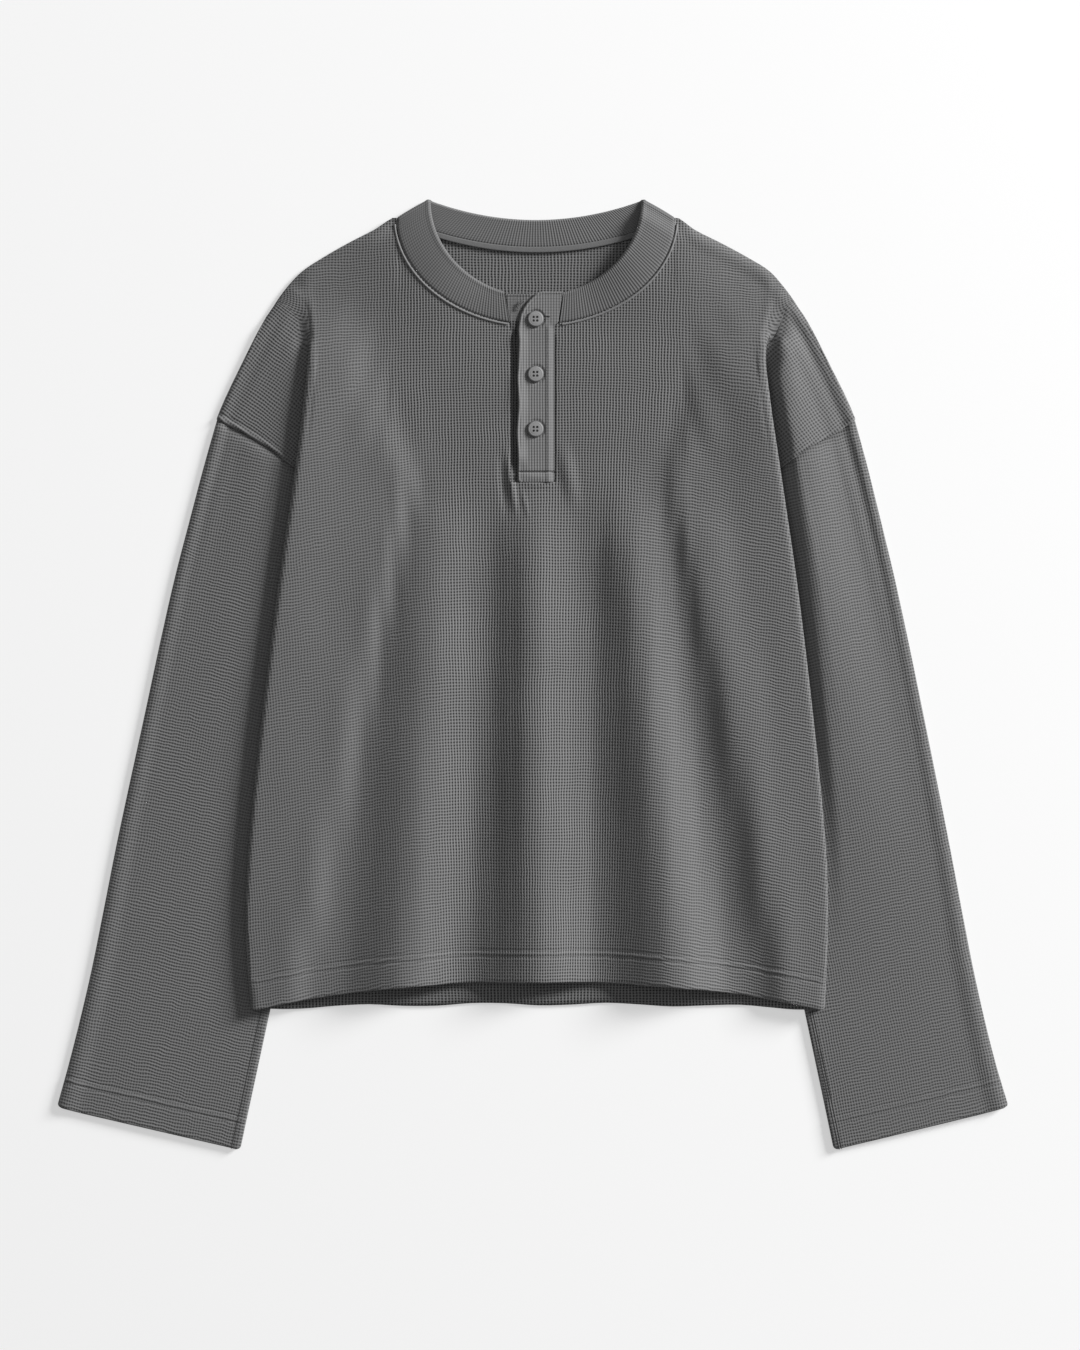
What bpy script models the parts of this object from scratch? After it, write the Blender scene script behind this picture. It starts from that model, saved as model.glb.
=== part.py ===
"""A long-sleeved henley shirt in waffle knit, laid flat on its back with its sleeves tucked down.

Sizes are in millimetres and turned to metres as each mesh is made. The shirt lies on z = 0 with
its neck to +Y and its front up, so the wearer's right sleeve is at -X and the left one at +X.
Cloth is a grid of points in the middle of its wall, made solid on both sides of it.
"""

import math
from bisect import bisect_right
from collections import namedtuple

import bmesh
import bpy
from mathutils import Vector

MM = 0.001

# Cloth
WALL = 1.5                 # waffle knit
GAP = 0.3                  # air between pieces that are sewn or lie together
PLY = WALL + GAP
BAND_WALL = 2.4            # the neck band is folded double
CENTRE_X = 2.8             # middle of the neckline
RIB_PITCH = 2.15
FRONT_RIB_SHARE = 1.03     # the front's ribs are that much closer than the back's
RIB_RISE = 0.3

# Body
TOP_Y = 311.0              # where the shoulder's tuck starts on the outline
FRONT_HEM_Y = -245.5       # at the middle, the sides hang lower
FRONT_HEM_DIP = 23.0
BACK_HEM_Y = -264.0
BACK_HEM_DIP = 3.6
HEM_WAVE = 1.2
HEM_WAVE_LENGTH = 100.0
HEM_WAVE_X = -38.0
HEM_HALF = 228.0
HEM_CENTRE_X = 5.0
HEM_POWER = 2.3            # how late the front hem drops towards the sides
BACK_INSET = 3.5           # the back ends inside the front's edge, which turns down round it
ROLLED_Z = 1.2

# Neckline, as half ellipses in front and parabolas behind, about CENTRE_X
SEAM_HALF = 111.4
SEAM_Y = 365.6
SEAM_FRONT_DROP = 85.2
SEAM_BACK_DROP = 23.6
FREE_HALF = 85.2
FREE_Y = 379.0
FREE_FRONT_DROP = 77.0
FREE_BACK_DROP = 15.8
PANEL_EASE = 0.95          # the panels' straighter edges stay this far outside the seam

# Placket and buttons
NOTCH_HALF = 17.6          # the front is cut this far on each side of the placket
PLACKET_TOP_Y = 305.2
PLACKET_END_Y = 154.4
PLACKET_NECK_Y = 262.0     # from here up the placket levels out to the height of the band
PLACKET_NECK_REACH = 20.0
PLACKET_WALL = 1.4
PLACKET_LIFT = 0.85        # middle of the top strip above the middle of the front's wall
UNDER_WALL = 1.2
UNDER_LIFT = -0.95
UNDER_END_X = 9.0
BUTTON_X = 2.4
BUTTON_YS = (284.4, 240.4, 196.4)
BUTTON_RADIUS = 6.65
BUTTON_HEIGHT = 2.4
BUTTON_SIDES = 24
BUTTON_EDGE = 0.6          # bevel of the rim, and depth of the dished face inside it
BUTTON_DISH_RADIUS = 4.4
BUTTON_SEAT = 0.4          # air between the ribs of the strip and a button
HOLE_RADIUS = 0.85
HOLE_OFFSET = 1.45
HOLE_SIDES = 6

# Neck tape
TAPE_WIDTH = 4.6
TAPE_WALL = 0.8
TAPE_REACH = 0.76          # share of the back neckline
TAPE_OVERLAP = 0.4         # how far the tape covers the neck seam
TAPE_STEPS = 16

# Heights above the surface that the shirt rests on
CLEAR = 2.4                # middle of the front above the middle of what it lies on
TORSO_LOFT = 2.0
HEM_LOFT = 0.6             # more of it towards the hem
NECK_SEAM_Z = 4.6
NECK_CORNER_Z = 3.4        # where the neck seam meets the shoulder
CORNER_RISE = math.radians(30)  # the neck seam gains its height over this much of its ellipse
BAND_LIFT = 0.3            # seam edge of the band above the front's edge
BAND_FREE_LIFT = 1.2
TOP_RISE = 0.05            # share of the front's length in which it rises from its upper edge
SLEEVE_LOFT = 2.0
CREST_RISE = 11.0          # the sleeve climbs to its crest over this width
CREST_FALL = 1.5           # power of its fall from there to the outline
CREST_END_Y = -240.0       # the crest fades out over this length above here
CREST_REACH = 360.0
EDGE_SOFTNESS = 34.0       # how far in the body's rolled edge fades
RAMP_FOOT = 25.0           # the back starts to climb this far inside the sleeve's inner edge
FRONT_RAMP_FOOT = 28.0
RAMP_WIDTH = 15.0
RAMP_START = 17.0          # the climb comes in over this length below the underarm

# The wearer's two sides, with the angles where the band's seam and free edge stop at the placket
# with where the front's cut beside the placket meets the neck seam, and with how high the sleeve
# swells beside the body's edge
Side = namedtuple("Side", "name sign x_column seam_end free_end notch_top_x sleeve_crest")
RIGHT = Side("right", -1, "right_x", math.radians(79.2), math.radians(73.1), -18.6, 3.6)
LEFT = Side("left", 1, "left_x", math.radians(80.3), math.radians(75.3), 21.0, 7.6)

# Outer edge of the lying shirt, from the neck seam over the shoulder and down the sleeve
Edge = namedtuple("Edge", "y right_x left_x")
OUTLINE = [
    Edge(367.0, -111.0, 116.5),
    Edge(357.0, -124.4, 127.6),
    Edge(344.0, -149.5, 153.0),
    Edge(325.0, -181.2, 186.8),
    Edge(311.0, -195.8, 200.6),
    Edge(287.0, -212.3, 217.0),
    Edge(252.0, -230.7, 235.5),
    Edge(205.0, -252.4, 257.8),
    Edge(156.0, -266.0, 270.8),
    Edge(108.0, -278.8, 282.8),
    Edge(60.0, -290.8, 294.0),
    Edge(-36.0, -311.6, 314.0),
    Edge(-132.0, -332.4, 333.2),
    Edge(-238.0, -353.6, 353.6),
    Edge(-300.0, -368.4, 368.0),
    Edge(-346.0, -380.8, 381.2),
]

# Side edge of the body: the fold over the tuck above, the side seam's roll below
BODY_EDGE = [
    Edge(311.0, -195.6, 200.4),
    Edge(294.0, -181.0, 193.0),
    Edge(268.0, -178.8, 186.8),
    Edge(230.0, -181.2, 188.8),
    Edge(190.0, -185.3, 194.3),
    Edge(150.0, -190.8, 200.2),
    Edge(60.0, -203.5, 213.2),
    Edge(-60.0, -218.0, 227.2),
    Edge(-150.0, -226.4, 235.2),
    Edge(-210.0, -227.8, 236.0),
    Edge(-268.0, -223.6, 233.6),
]

# The tuck under the body's edge: how deep, how far closed from 0 to 1, how high its top stands
Tuck = namedtuple("Tuck", "y depth closed edge_z")
TUCK = [
    Tuck(311.0, 4.5, 0.0, 2.9),
    Tuck(294.0, 4.5, 0.0, 4.4),
    Tuck(280.0, 5.0, 0.15, 5.6),
    Tuck(266.0, 8.0, 0.5, 7.0),
    Tuck(248.0, 18.0, 0.9, 9.0),
    Tuck(225.0, 34.0, 1.0, 10.1),
    Tuck(190.0, 55.0, 1.0, 10.4),
    Tuck(150.0, 74.0, 1.0, 10.4),
    Tuck(136.0, 80.0, 1.0, 10.4),
    Tuck(60.0, 44.0, 1.0, 10.4),
    Tuck(-20.0, 14.0, 1.0, 10.4),
    Tuck(-70.0, 4.8, 1.0, 10.2),
    Tuck(-268.0, 4.8, 1.0, 9.6),
]
UNDERARM_Y = 136.0
TUCK_SAG = 29.0            # the tuck's rows sink by this where it is TUCK_SAG_DEPTH deep
TUCK_SAG_DEPTH = 80.0
SHOULDER_SLOPE = 1.45      # fall of the outline past the tuck's start, for each step outwards
SLOPE_REACH = 7.0          # width of the soft slope that the tuck starts as

# Seams across the sleeve's two ends, from its outer edge at 0 to the underarm at 1
Seam = namedtuple("Seam", "along y right_x left_x")
ARMHOLE = [
    Seam(0.0, 204.5, -252.4, 257.8),
    Seam(0.18, 191.7, -228.0, 240.0),
    Seam(0.34, 178.5, -206.5, 216.0),
    Seam(0.47, 165.5, -189.6, 199.4),
    Seam(0.72, 147.0, -152.0, 161.0),
    Seam(1.0, 136.0, -112.6, 121.8),
]
CUFF = [
    Seam(0.0, -346.0, -380.8, 381.2),
    Seam(0.06, -348.5, -372.5, 373.0),
    Seam(1.0, -380.6, -234.2, 241.4),
]
SLEEVE_TOP_REACH = 0.93    # the sleeve's top stops short of the underarm point
SLEEVE_DROP = 0.8          # and starts this far below the armhole seam
SLEEVE_LEAN = 0.23         # the sleeve's way out for each step down

# Soft folds that fan down the front from the placket's end, each valley and crest in turn from the
# wearer's right: where it runs and how high it stands at three heights
FoldLine = namedtuple("FoldLine", "upper_x middle_x hem_x upper_rise middle_rise hem_rise")
FOLD_LINES = [
    FoldLine(-120.4, -138.0, -156.4, 2.0, 3.5, 4.0),
    FoldLine(-80.4, -90.8, -102.0, 5.6, 10.0, 12.5),
    FoldLine(-38.8, -42.0, -53.2, 0.3, 0.6, 0.8),
    FoldLine(-0.4, -1.2, 2.0, 6.2, 9.8, 12.5),
    FoldLine(42.8, 47.6, 50.8, 0.3, 0.2, 0.5),
    FoldLine(78.8, 94.8, 109.2, 7.5, 11.0, 13.5),
    FoldLine(110.8, 130.8, 156.4, 3.2, 1.2, 0.3),
    FoldLine(143.6, 173.2, 209.2, 5.1, 6.0, 5.5),
]
FOLD_UPPER_Y = 92.0        # height of the table's upper columns
FOLD_HEM_Y = -212.0        # and of its hem columns, with the middle ones halfway
FOLD_TOP_Y = 172.0         # the folds grow from here down,
FOLD_REACH = 80.0          # over this length

# Rows of the front and back, as shares of the way to the hem at the middle and at the side
Row = namedtuple("Row", "middle side")
ROWS = [
    Row(0.0, 0.0),
    Row(0.0045, 0.0045),
    Row(0.03, 0.025),
    Row(0.075, 0.06),
    Row(0.125, 0.1),
    Row(0.18, 0.155),
    Row(0.24, 0.252),
    Row(0.29, 0.305),
    Row(0.345, 0.36),
    Row(0.4, 0.415),
    Row(0.46, 0.47),
    Row(0.525, 0.53),
    Row(0.59, 0.595),
    Row(0.655, 0.66),
    Row(0.725, 0.73),
    Row(0.795, 0.8),
    Row(0.865, 0.865),
    Row(0.935, 0.935),
    Row(1.0, 1.0),
]
ARM_ROW = 6                # the row on the armhole seam and at the placket's end
BACK_ROWS = [
    Row(0.0, 0.0),
    Row(0.03, 0.03),
    Row(0.08, 0.09),
    Row(0.13, 0.16),
    Row(0.19, 0.23),
    Row(0.245, 0.2985),
    Row(0.28, 0.332),
    Row(0.33, 0.38),
    Row(0.4, 0.44),
    Row(0.48, 0.51),
    Row(0.56, 0.58),
    Row(0.64, 0.655),
    Row(0.73, 0.74),
    Row(0.82, 0.825),
    Row(0.91, 0.91),
    Row(1.0, 1.0),
]
BACK_ARM_ROW = 5

SHOULDER_COLUMNS = 5
NECK_COLUMNS = 9
PLACKET_COLUMNS = 3
BACK_SHOULDER_COLUMNS = 3
BACK_NECK_COLUMNS = 8
# Shares of the way in from the cap's or sleeve's outer edge to where the body covers it, and on
CAP_OPEN = (0.0, 0.025, 0.12, 0.28, 0.45, 0.6, 0.74, 0.87, 1.0)
CAP_COVERED = (0.4, 0.75, 0.97)
SLEEVE_OPEN = (0.0, 0.14, 0.3, 0.46, 0.6, 0.72, 0.82, 0.91, 1.0)
SLEEVE_COVERED = (0.35, 0.7, 1.0)
MOST_OPEN = 0.88           # the open share of a cap or sleeve stays below this
SLEEVE_BACK_ALONG = (1.0, 0.8, 0.55, 0.36, 0.18, 0.0)
SLEEVE_ROWS = (0.0, 0.06, 0.14, 0.23, 0.32, 0.42, 0.52, 0.62, 0.72, 0.8, 0.86, 0.93, 1.0)
PRESSED = 2.5              # the sleeve stays flat this far out from the body's edge
FREED = 8.0                # it is free of the body this far below the hem,
FREED_REACH = 40.0         # and opens to its full width over this length


def layer(number):
    """Height of the middle of a wall, counting up from the one on the surface."""
    return WALL / 2 + number * PLY


def mix(start, end, share):
    return start + (end - start) * share


def ease(share):
    share = min(max(share, 0.0), 1.0)
    return share * share * (3 - 2 * share)


def read(table, place, column):
    """A column's value at a place along the table's first column, on a smooth curve."""
    rows = sorted(table)
    keys = [row[0] for row in rows]
    i = min(max(bisect_right(keys, place) - 1, 0), len(rows) - 2)
    around = [rows[min(max(k, 0), len(rows) - 1)] for k in range(i - 1, i + 3)]
    at = [row[0] for row in around]
    value = [getattr(row, column) for row in around]
    span = at[2] - at[1]
    t = min(max((place - at[1]) / span, 0.0), 1.0)
    start_slope = (value[2] - value[0]) / (at[2] - at[0]) * span
    end_slope = (value[3] - value[1]) / (at[3] - at[1]) * span
    return (
        value[1] * (2 * t**3 - 3 * t**2 + 1)
        + start_slope * (t**3 - 2 * t**2 + t)
        + value[2] * (3 * t**2 - 2 * t**3)
        + end_slope * (t**3 - t**2)
    )


def outline_x(side, y):
    return read(OUTLINE, y, side.x_column)


def body_edge_x(side, y):
    """Middle of the wall at the body's side edge, half a wall inside the outline."""
    return read(BODY_EDGE, y, side.x_column) - side.sign * WALL / 2


def seam_point(table, side, along):
    return Vector((read(table, along, side.x_column), read(table, along, "y"), 0.0))


def side_of(x):
    return RIGHT if x < HEM_CENTRE_X else LEFT


# Heights


def sleeve_inner_x(side, y):
    """The sleeve's inner edge, straight from near the underarm to the cuff."""
    top = seam_point(ARMHOLE, side, SLEEVE_TOP_REACH)
    cuff = seam_point(CUFF, side, 1.0)
    return mix(top.x, cuff.x, (top.y - y) / (top.y - cuff.y))


def over_stack(side, x, y):
    """How far a point lies out over the tuck above the underarm, or over the sleeve below."""
    tuck_x = body_edge_x(side, y) - side.sign * read(TUCK, y, "depth")
    inner_x = tuck_x if y > UNDERARM_Y else sleeve_inner_x(side, y)
    return side.sign * (x - inner_x)


def back_z(x, y):
    """The back lies on the surface and climbs over the two sleeves below the underarms."""
    over = over_stack(side_of(x), x, y)
    below_underarm = ease((UNDERARM_Y - y) / RAMP_START)
    return layer(0) + 2 * PLY * ease((over + RAMP_FOOT) / RAMP_WIDTH) * below_underarm


def through(upper, middle, lower, down):
    """A smooth line through three values, with the middle one halfway down."""
    return (
        upper * (1 - down) * (1 - 2 * down)
        + middle * 4 * down * (1 - down)
        + lower * down * (2 * down - 1)
    )


def fold_z(x, y):
    """Rise of the folds, from the nearest valley and crest on each side of x."""
    if y >= FOLD_TOP_Y:
        return 0.0
    down = (FOLD_UPPER_Y - y) / (FOLD_UPPER_Y - FOLD_HEM_Y)
    places = [through(line.upper_x, line.middle_x, line.hem_x, down) for line in FOLD_LINES]
    rises = [through(line.upper_rise, line.middle_rise, line.hem_rise, down) for line in FOLD_LINES]
    k = min(max(bisect_right(places, x) - 1, 0), len(places) - 2)
    share = ease((x - places[k]) / (places[k + 1] - places[k]))
    return mix(rises[k], rises[k + 1], share) * ease((FOLD_TOP_Y - y) / FOLD_REACH)


def torso_z(x, y):
    """Middle of the front's wall between the body's two side edges."""
    side = side_of(x)
    closed = read(TUCK, y, "closed")
    over = over_stack(side, x, y)
    stack = 2 * PLY * closed * ease((over + FRONT_RAMP_FOOT) / RAMP_WIDTH)
    from_edge = side.sign * (body_edge_x(side, y) - x)
    middle = 1 - math.exp(-((from_edge / EDGE_SOFTNESS) ** 2))
    down = (TOP_Y - y) / (TOP_Y - FRONT_HEM_Y)
    loft = TORSO_LOFT + HEM_LOFT * ease(down)
    rest_z = layer(0) + CLEAR + stack + (loft + fold_z(x, y)) * middle
    edge_z = layer(0) + CLEAR + 2 * PLY * closed
    return rest_z + (read(TUCK, y, "edge_z") - edge_z) * (1 - middle)


def covered_x(side, y):
    """The body covers the cap and sleeve as far out as this. The sleeve is free below the hem."""
    hem_y = BODY_EDGE[-1].y
    edge = body_edge_x(side, max(y, hem_y)) + side.sign * PRESSED
    return mix(edge, sleeve_inner_x(side, y), ease((hem_y - FREED - y) / FREED_REACH))


def open_share(side, plan):
    """How far along a line in from the outline the body starts to cover it."""
    low, high = 0.0, MOST_OPEN
    for _ in range(14):
        middle = (low + high) / 2
        point = plan(middle)
        if side.sign * (point.x - covered_x(side, point.y)) > 0:
            low = middle
        else:
            high = middle
    return high


def outer_layer_z(side, x, y):
    """Middle of the top wall of the shoulder cap and sleeve, outside the body's edge.

    It swells to a crest beside the body's edge and falls from there to the outline.
    """
    start = covered_x(side, y)
    out = side.sign * (x - start)
    share = min(max(out / (side.sign * (outline_x(side, y) - start)), 0.0), 1.0)
    crest = side.sleeve_crest * read(TUCK, y, "closed") * ease((y - CREST_END_Y) / CREST_REACH)
    swell = crest * ease(out / CREST_RISE) * (1 - share) ** CREST_FALL
    return layer(1) + swell + SLEEVE_LOFT * math.sin(math.pi * share)


# Neckline


def seam_front(angle, side, extra=0.0):
    """The front neck seam, from the shoulder at angle 0 to the middle at a right angle."""
    x = CENTRE_X + side.sign * (SEAM_HALF + extra) * math.cos(angle)
    return Vector((x, SEAM_Y - (SEAM_FRONT_DROP + extra) * math.sin(angle), 0.0))


def free_front(angle, side):
    x = CENTRE_X + side.sign * FREE_HALF * math.cos(angle)
    return Vector((x, FREE_Y - FREE_FRONT_DROP * math.sin(angle), 0.0))


def seam_back(share):
    """The back neck seam, from the right shoulder at -1 to the left one at 1."""
    drop = SEAM_BACK_DROP * (1 - share * share)
    return Vector((CENTRE_X + SEAM_HALF * share, SEAM_Y - drop, 0.0))


def free_back(share):
    drop = FREE_BACK_DROP * (1 - share * share)
    return Vector((CENTRE_X + FREE_HALF * share, FREE_Y - drop, 0.0))


# Sheets


def grid_quads(grid, closed):
    columns = len(grid[0])
    for i in range(len(grid) - 1):
        for j in range(columns if closed else columns - 1):
            corners = [(i, j), (i + 1, j), (i + 1, (j + 1) % columns), (i, (j + 1) % columns)]
            if all(grid[r][c] is not None for r, c in corners):
                yield corners


def grid_normals(grid, quads):
    normals = {}
    for corners in quads:
        a, b, c, d = (grid[r][k] for r, k in corners)
        face = (c - a).cross(d - b)
        for corner in corners:
            normals[corner] = normals.get(corner, Vector()) + face
    return {corner: normal.normalized() for corner, normal in normals.items()}


def numbered(quads):
    """A number for each grid corner in use, and the faces by those numbers."""
    number = {}
    faces = []
    for corners in quads:
        faces.append([number.setdefault(corner, len(number)) for corner in corners])
    return number, faces


def sheet(name, grid, wall, material, closed=False):
    """A wall of cloth about a grid of points. None in the grid leaves a hole."""
    number, faces = numbered(grid_quads(grid, closed))
    mesh = bpy.data.meshes.new(name)
    mesh.from_pydata([grid[i][j] * MM for i, j in number], [], faces)
    obj = place(name, mesh, material)
    solid = obj.modifiers.new("wall", "SOLIDIFY")
    solid.thickness = wall * MM
    solid.offset = 0.0
    return obj


def ribbed_sheet(name, grid, wall, material, ribs_up):
    """A wall whose every second column stands up as a rib, on its upper or its under face."""
    quads = list(grid_quads(grid, False))
    normals = grid_normals(grid, quads)
    number, faces = numbered(quads)
    count = len(number)
    tops = []
    unders = []
    for i, j in number:
        rib = RIB_RISE * (j % 2)
        up = ribs_up(grid[i][j])
        tops.append((grid[i][j] + normals[i, j] * (wall / 2 + rib * up)) * MM)
        unders.append((grid[i][j] - normals[i, j] * (wall / 2 + rib * (1 - up))) * MM)
    edges = {edge for ids in faces for edge in zip(ids, ids[1:] + ids[:1])}
    rim = [(b, a, a + count, b + count) for a, b in sorted(edges) if (b, a) not in edges]
    under_faces = [[k + count for k in reversed(ids)] for ids in faces]
    mesh = bpy.data.meshes.new(name)
    mesh.from_pydata(tops + unders, [], faces + under_faces + rim)
    return place(name, mesh, material)


def place(name, mesh, material):
    mesh.materials.append(material)
    obj = bpy.data.objects.new(name, mesh)
    SHIRT.objects.link(obj)
    return obj


# Front and back panels

Column = namedtuple("Column", "side top hem_x share")


def front_hem_y(x):
    return FRONT_HEM_Y - FRONT_HEM_DIP * (abs(x - HEM_CENTRE_X) / HEM_HALF) ** HEM_POWER


def back_hem_y(x):
    sag = BACK_HEM_DIP * ((x - HEM_CENTRE_X) / HEM_HALF) ** 2
    wave = HEM_WAVE * math.cos(2 * math.pi * (x - HEM_WAVE_X) / HEM_WAVE_LENGTH)
    return BACK_HEM_Y - sag + wave


def shoulder_top(side, share, inset):
    """A point on the shoulder line, from the tuck at 0 to the neck at 1."""
    y = mix(TOP_Y, OUTLINE[0].y, share)
    return Vector((outline_x(side, y) - side.sign * inset, y - inset / 2, 0.0))


def half_columns(side, tops, hem_inner_x, hem_outer_x):
    """Columns from the side edge to the middle, spaced evenly along the hem."""
    count = len(tops) - 1
    columns = []
    for k, top in enumerate(tops):
        share = 1 - k / count
        columns.append(Column(side, top, mix(hem_inner_x, hem_outer_x, share), share))
    return columns


def front_columns(side):
    edge = Vector((roll_line(side, TOP_Y), TOP_Y, 0.0))
    shoulder = [shoulder_top(side, k / SHOULDER_COLUMNS, 0.0) for k in range(1, SHOULDER_COLUMNS)]
    angles = [side.seam_end * k / NECK_COLUMNS for k in range(NECK_COLUMNS)]
    neck = [seam_front(angle, side, PANEL_EASE) for angle in angles]
    last = Vector((side.notch_top_x, seam_front(side.seam_end, side, PANEL_EASE).y, 0.0))
    hem_x = roll_line(side, BODY_EDGE[-1].y)
    return half_columns(side, [edge, *shoulder, *neck, last], side.sign * NOTCH_HALF, hem_x)


def panel_point(column, row, edge_line, hem_y, fade):
    """Where a column crosses a row, in plan. The edge's bends fade out towards the middle."""
    share = mix(row.middle, row.side, column.share)
    y = mix(column.top.y, hem_y(column.hem_x), share)
    bottom_y = BODY_EDGE[-1].y
    edge_y = y if column.share == 1.0 else mix(TOP_Y, bottom_y, row.side)
    straight_edge = mix(edge_line(column.side, TOP_Y), edge_line(column.side, bottom_y), share)
    bend = edge_line(column.side, edge_y) - straight_edge
    return Vector((mix(column.top.x, column.hem_x, share) + column.share**fade * bend, y, 0.0))


def roll_radius(side, y):
    return (read(TUCK, y, "edge_z") - layer(2)) / 2 if read(TUCK, y, "closed") > 0.5 else 1.0


def roll_line(side, y):
    """Where the flat of the front ends and its side roll starts."""
    return body_edge_x(side, y) - side.sign * roll_radius(side, y)


def tuck_line(side, y):
    """Inner end of the tuck, or the side seam below the underarm."""
    return body_edge_x(side, y) - side.sign * read(TUCK, y, "depth")


def top_height(column, middle_z):
    """Height of the front's upper edge: down on the back at the shoulder, up at the neck."""
    if column.share == 0.0:
        return middle_z
    from_centre = abs(column.top.x - CENTRE_X) / (SEAM_HALF + PANEL_EASE)
    if from_centre > 1.001:
        return ROLLED_Z
    return mix(NECK_CORNER_Z, middle_z, ease(math.acos(min(from_centre, 1.0)) / CORNER_RISE))


def front_torso_point(column, i):
    point = panel_point(column, ROWS[i], roll_line, front_hem_y, 5)
    full_z = torso_z(point.x, point.y)
    shoulder = abs(column.top.x - CENTRE_X) > SEAM_HALF
    if i == 0:
        point.z = top_height(column, NECK_SEAM_Z)
        point.x = outline_x(column.side, point.y) if column.share == 1.0 else point.x
    elif column.share == 1.0:
        point.z = read(TUCK, point.y, "edge_z") if i > 1 else layer(1)
    else:
        start_z = layer(1) if shoulder else max(top_height(column, NECK_SEAM_Z), layer(1))
        point.z = mix(start_z, full_z, ease((ROWS[i].middle - ROWS[1].middle) / TOP_RISE))
    return point


def notch_points(i):
    """Points of a row between the placket's two cut edges."""
    top_y = seam_front(RIGHT.seam_end, RIGHT, PANEL_EASE).y
    y = mix(top_y, front_hem_y(0.0), ROWS[i].middle) if i > ARM_ROW else PLACKET_END_Y - GAP
    points = []
    for k in range(1, PLACKET_COLUMNS):
        x = mix(-NOTCH_HALF, NOTCH_HALF, k / PLACKET_COLUMNS)
        points.append(Vector((x, y, torso_z(x, y))) if i >= ARM_ROW else None)
    return points


def square_notch(column, i, point):
    """The two columns beside the placket run straight down from the neck seam's end."""
    if column.share == 0.0 and i > 0:
        point.x = column.hem_x
    if column.share == 0.0 and i == ARM_ROW:
        point.y = PLACKET_END_Y - GAP
    return point


def sunk_depth(side_y):
    """Depth of the tuck on a row that leaves the body's edge at side_y and sinks as it goes in."""
    depth = 0.0
    for _ in range(6):
        depth = read(TUCK, side_y - sag(depth), "depth")
    return depth


def sag(distance):
    return TUCK_SAG * (distance / TUCK_SAG_DEPTH) ** 2


def arc(centre_out, centre_z, radius_out, radius_z, degrees):
    angle = math.radians(degrees)
    return centre_out + radius_out * math.cos(angle), centre_z + radius_z * math.sin(angle)


def tuck_profile(side, y):
    """The roll, the tuck and its inner fold, as distances out from the edge and heights."""
    closed = ease(read(TUCK, y, "closed"))
    top_z = read(TUCK, y, "edge_z")
    radius = roll_radius(side, y)
    depth = max(sunk_depth(y), radius + 2)
    inner = PLY / 2
    high = (top_z + layer(2)) / 2
    low = (layer(1) + layer(2)) / 2
    folded = [arc(-radius, high, radius, top_z - high, degrees) for degrees in (45, 0, -45, -90)]
    folded.append((-(radius + depth) / 2, layer(2)))
    folded.append((inner - depth, layer(2)))
    folded += [arc(inner - depth, low, -inner, inner, degrees) for degrees in (30, -30, -90)]
    points = []
    for k, (out, z) in enumerate(folded):
        share = (k + 1) / len(folded)
        slope_out = mix(-radius, SLOPE_REACH, share)
        slope_z = mix(top_z, layer(1), ease(share))
        points.append((mix(slope_out, out, closed), mix(slope_z, z, closed)))
    return points


def side_y(i):
    return mix(TOP_Y, front_hem_y(body_edge_x(LEFT, BODY_EDGE[-1].y)), ROWS[i].side)


def tuck_points(side, i):
    """The front's points past its side edge: the roll, the tuck and, above the seam, its fold."""
    y = side_y(i)
    slope = SHOULDER_SLOPE * (1 - ease(read(TUCK, y, "closed")))
    start = roll_radius(side, y)
    points = []
    for out, z in tuck_profile(side, y):
        sunk_y = y - sag(min(out, 0.0))
        x = body_edge_x(side, sunk_y) + side.sign * out
        points.append(Vector((x, sunk_y - slope * (out + start), z)))
    if i == 0:
        points = [Vector((outline_x(side, point.y), point.y, ROLLED_Z)) for point in points]
    if i > ARM_ROW:
        points[6:] = [None] * 3
    return points


def cap_point(side, down, along, inner, inset):
    """A point of the shoulder cap in plan, between the tuck's inner fold and the outline."""
    outer_y = mix(OUTLINE[5].y, ARMHOLE[0].y, down)
    outer = Vector((outline_x(side, outer_y) - side.sign * inset, outer_y, 0.0))
    seam = seam_point(ARMHOLE, side, along)
    seam_chord = mix(seam_point(ARMHOLE, side, 0.0), seam_point(ARMHOLE, side, 1.0), along)
    return mix(outer, inner, along) + (seam - seam_chord) * down


def cap_points(side, i, inner):
    """The front's cap along a row, from the tuck out to the outline, where it turns down."""
    if i > ARM_ROW:
        return [None] * (len(CAP_COVERED) + len(CAP_OPEN))
    inner = Vector((inner.x, inner.y, 0.0))
    opening = open_share(side, lambda along: cap_point(side, i / ARM_ROW, along, inner, 0.0))
    alongs = [mix(opening, 1.0, share) for share in reversed(CAP_COVERED)]
    points = []
    for along in alongs + [opening * share for share in reversed(CAP_OPEN)]:
        point = cap_point(side, i / ARM_ROW, along, inner, 0.0)
        point.z = outer_layer_z(side, point.x, point.y)
        if along == 0.0 or i == 0:
            point.z = ROLLED_Z
        points.append(point)
    return points


def front_side(side, i):
    tuck = tuck_points(side, i)
    return tuck + cap_points(side, i, tuck[-1])


def make_front(material):
    right = front_columns(RIGHT)
    left = front_columns(LEFT)[::-1]
    grid = []
    for i in range(len(ROWS)):
        row = front_side(RIGHT, i)[::-1]
        row += [square_notch(column, i, front_torso_point(column, i)) for column in right]
        row += notch_points(i)
        row += [square_notch(column, i, front_torso_point(column, i)) for column in left]
        row += front_side(LEFT, i)
        grid.append(row)
    return sheet("front", grid, WALL, material)


def seam_line(side, y):
    """The back's own edge: the side seam, or the tuck's inner end above the underarm."""
    return tuck_line(side, y) - side.sign * GAP


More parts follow.
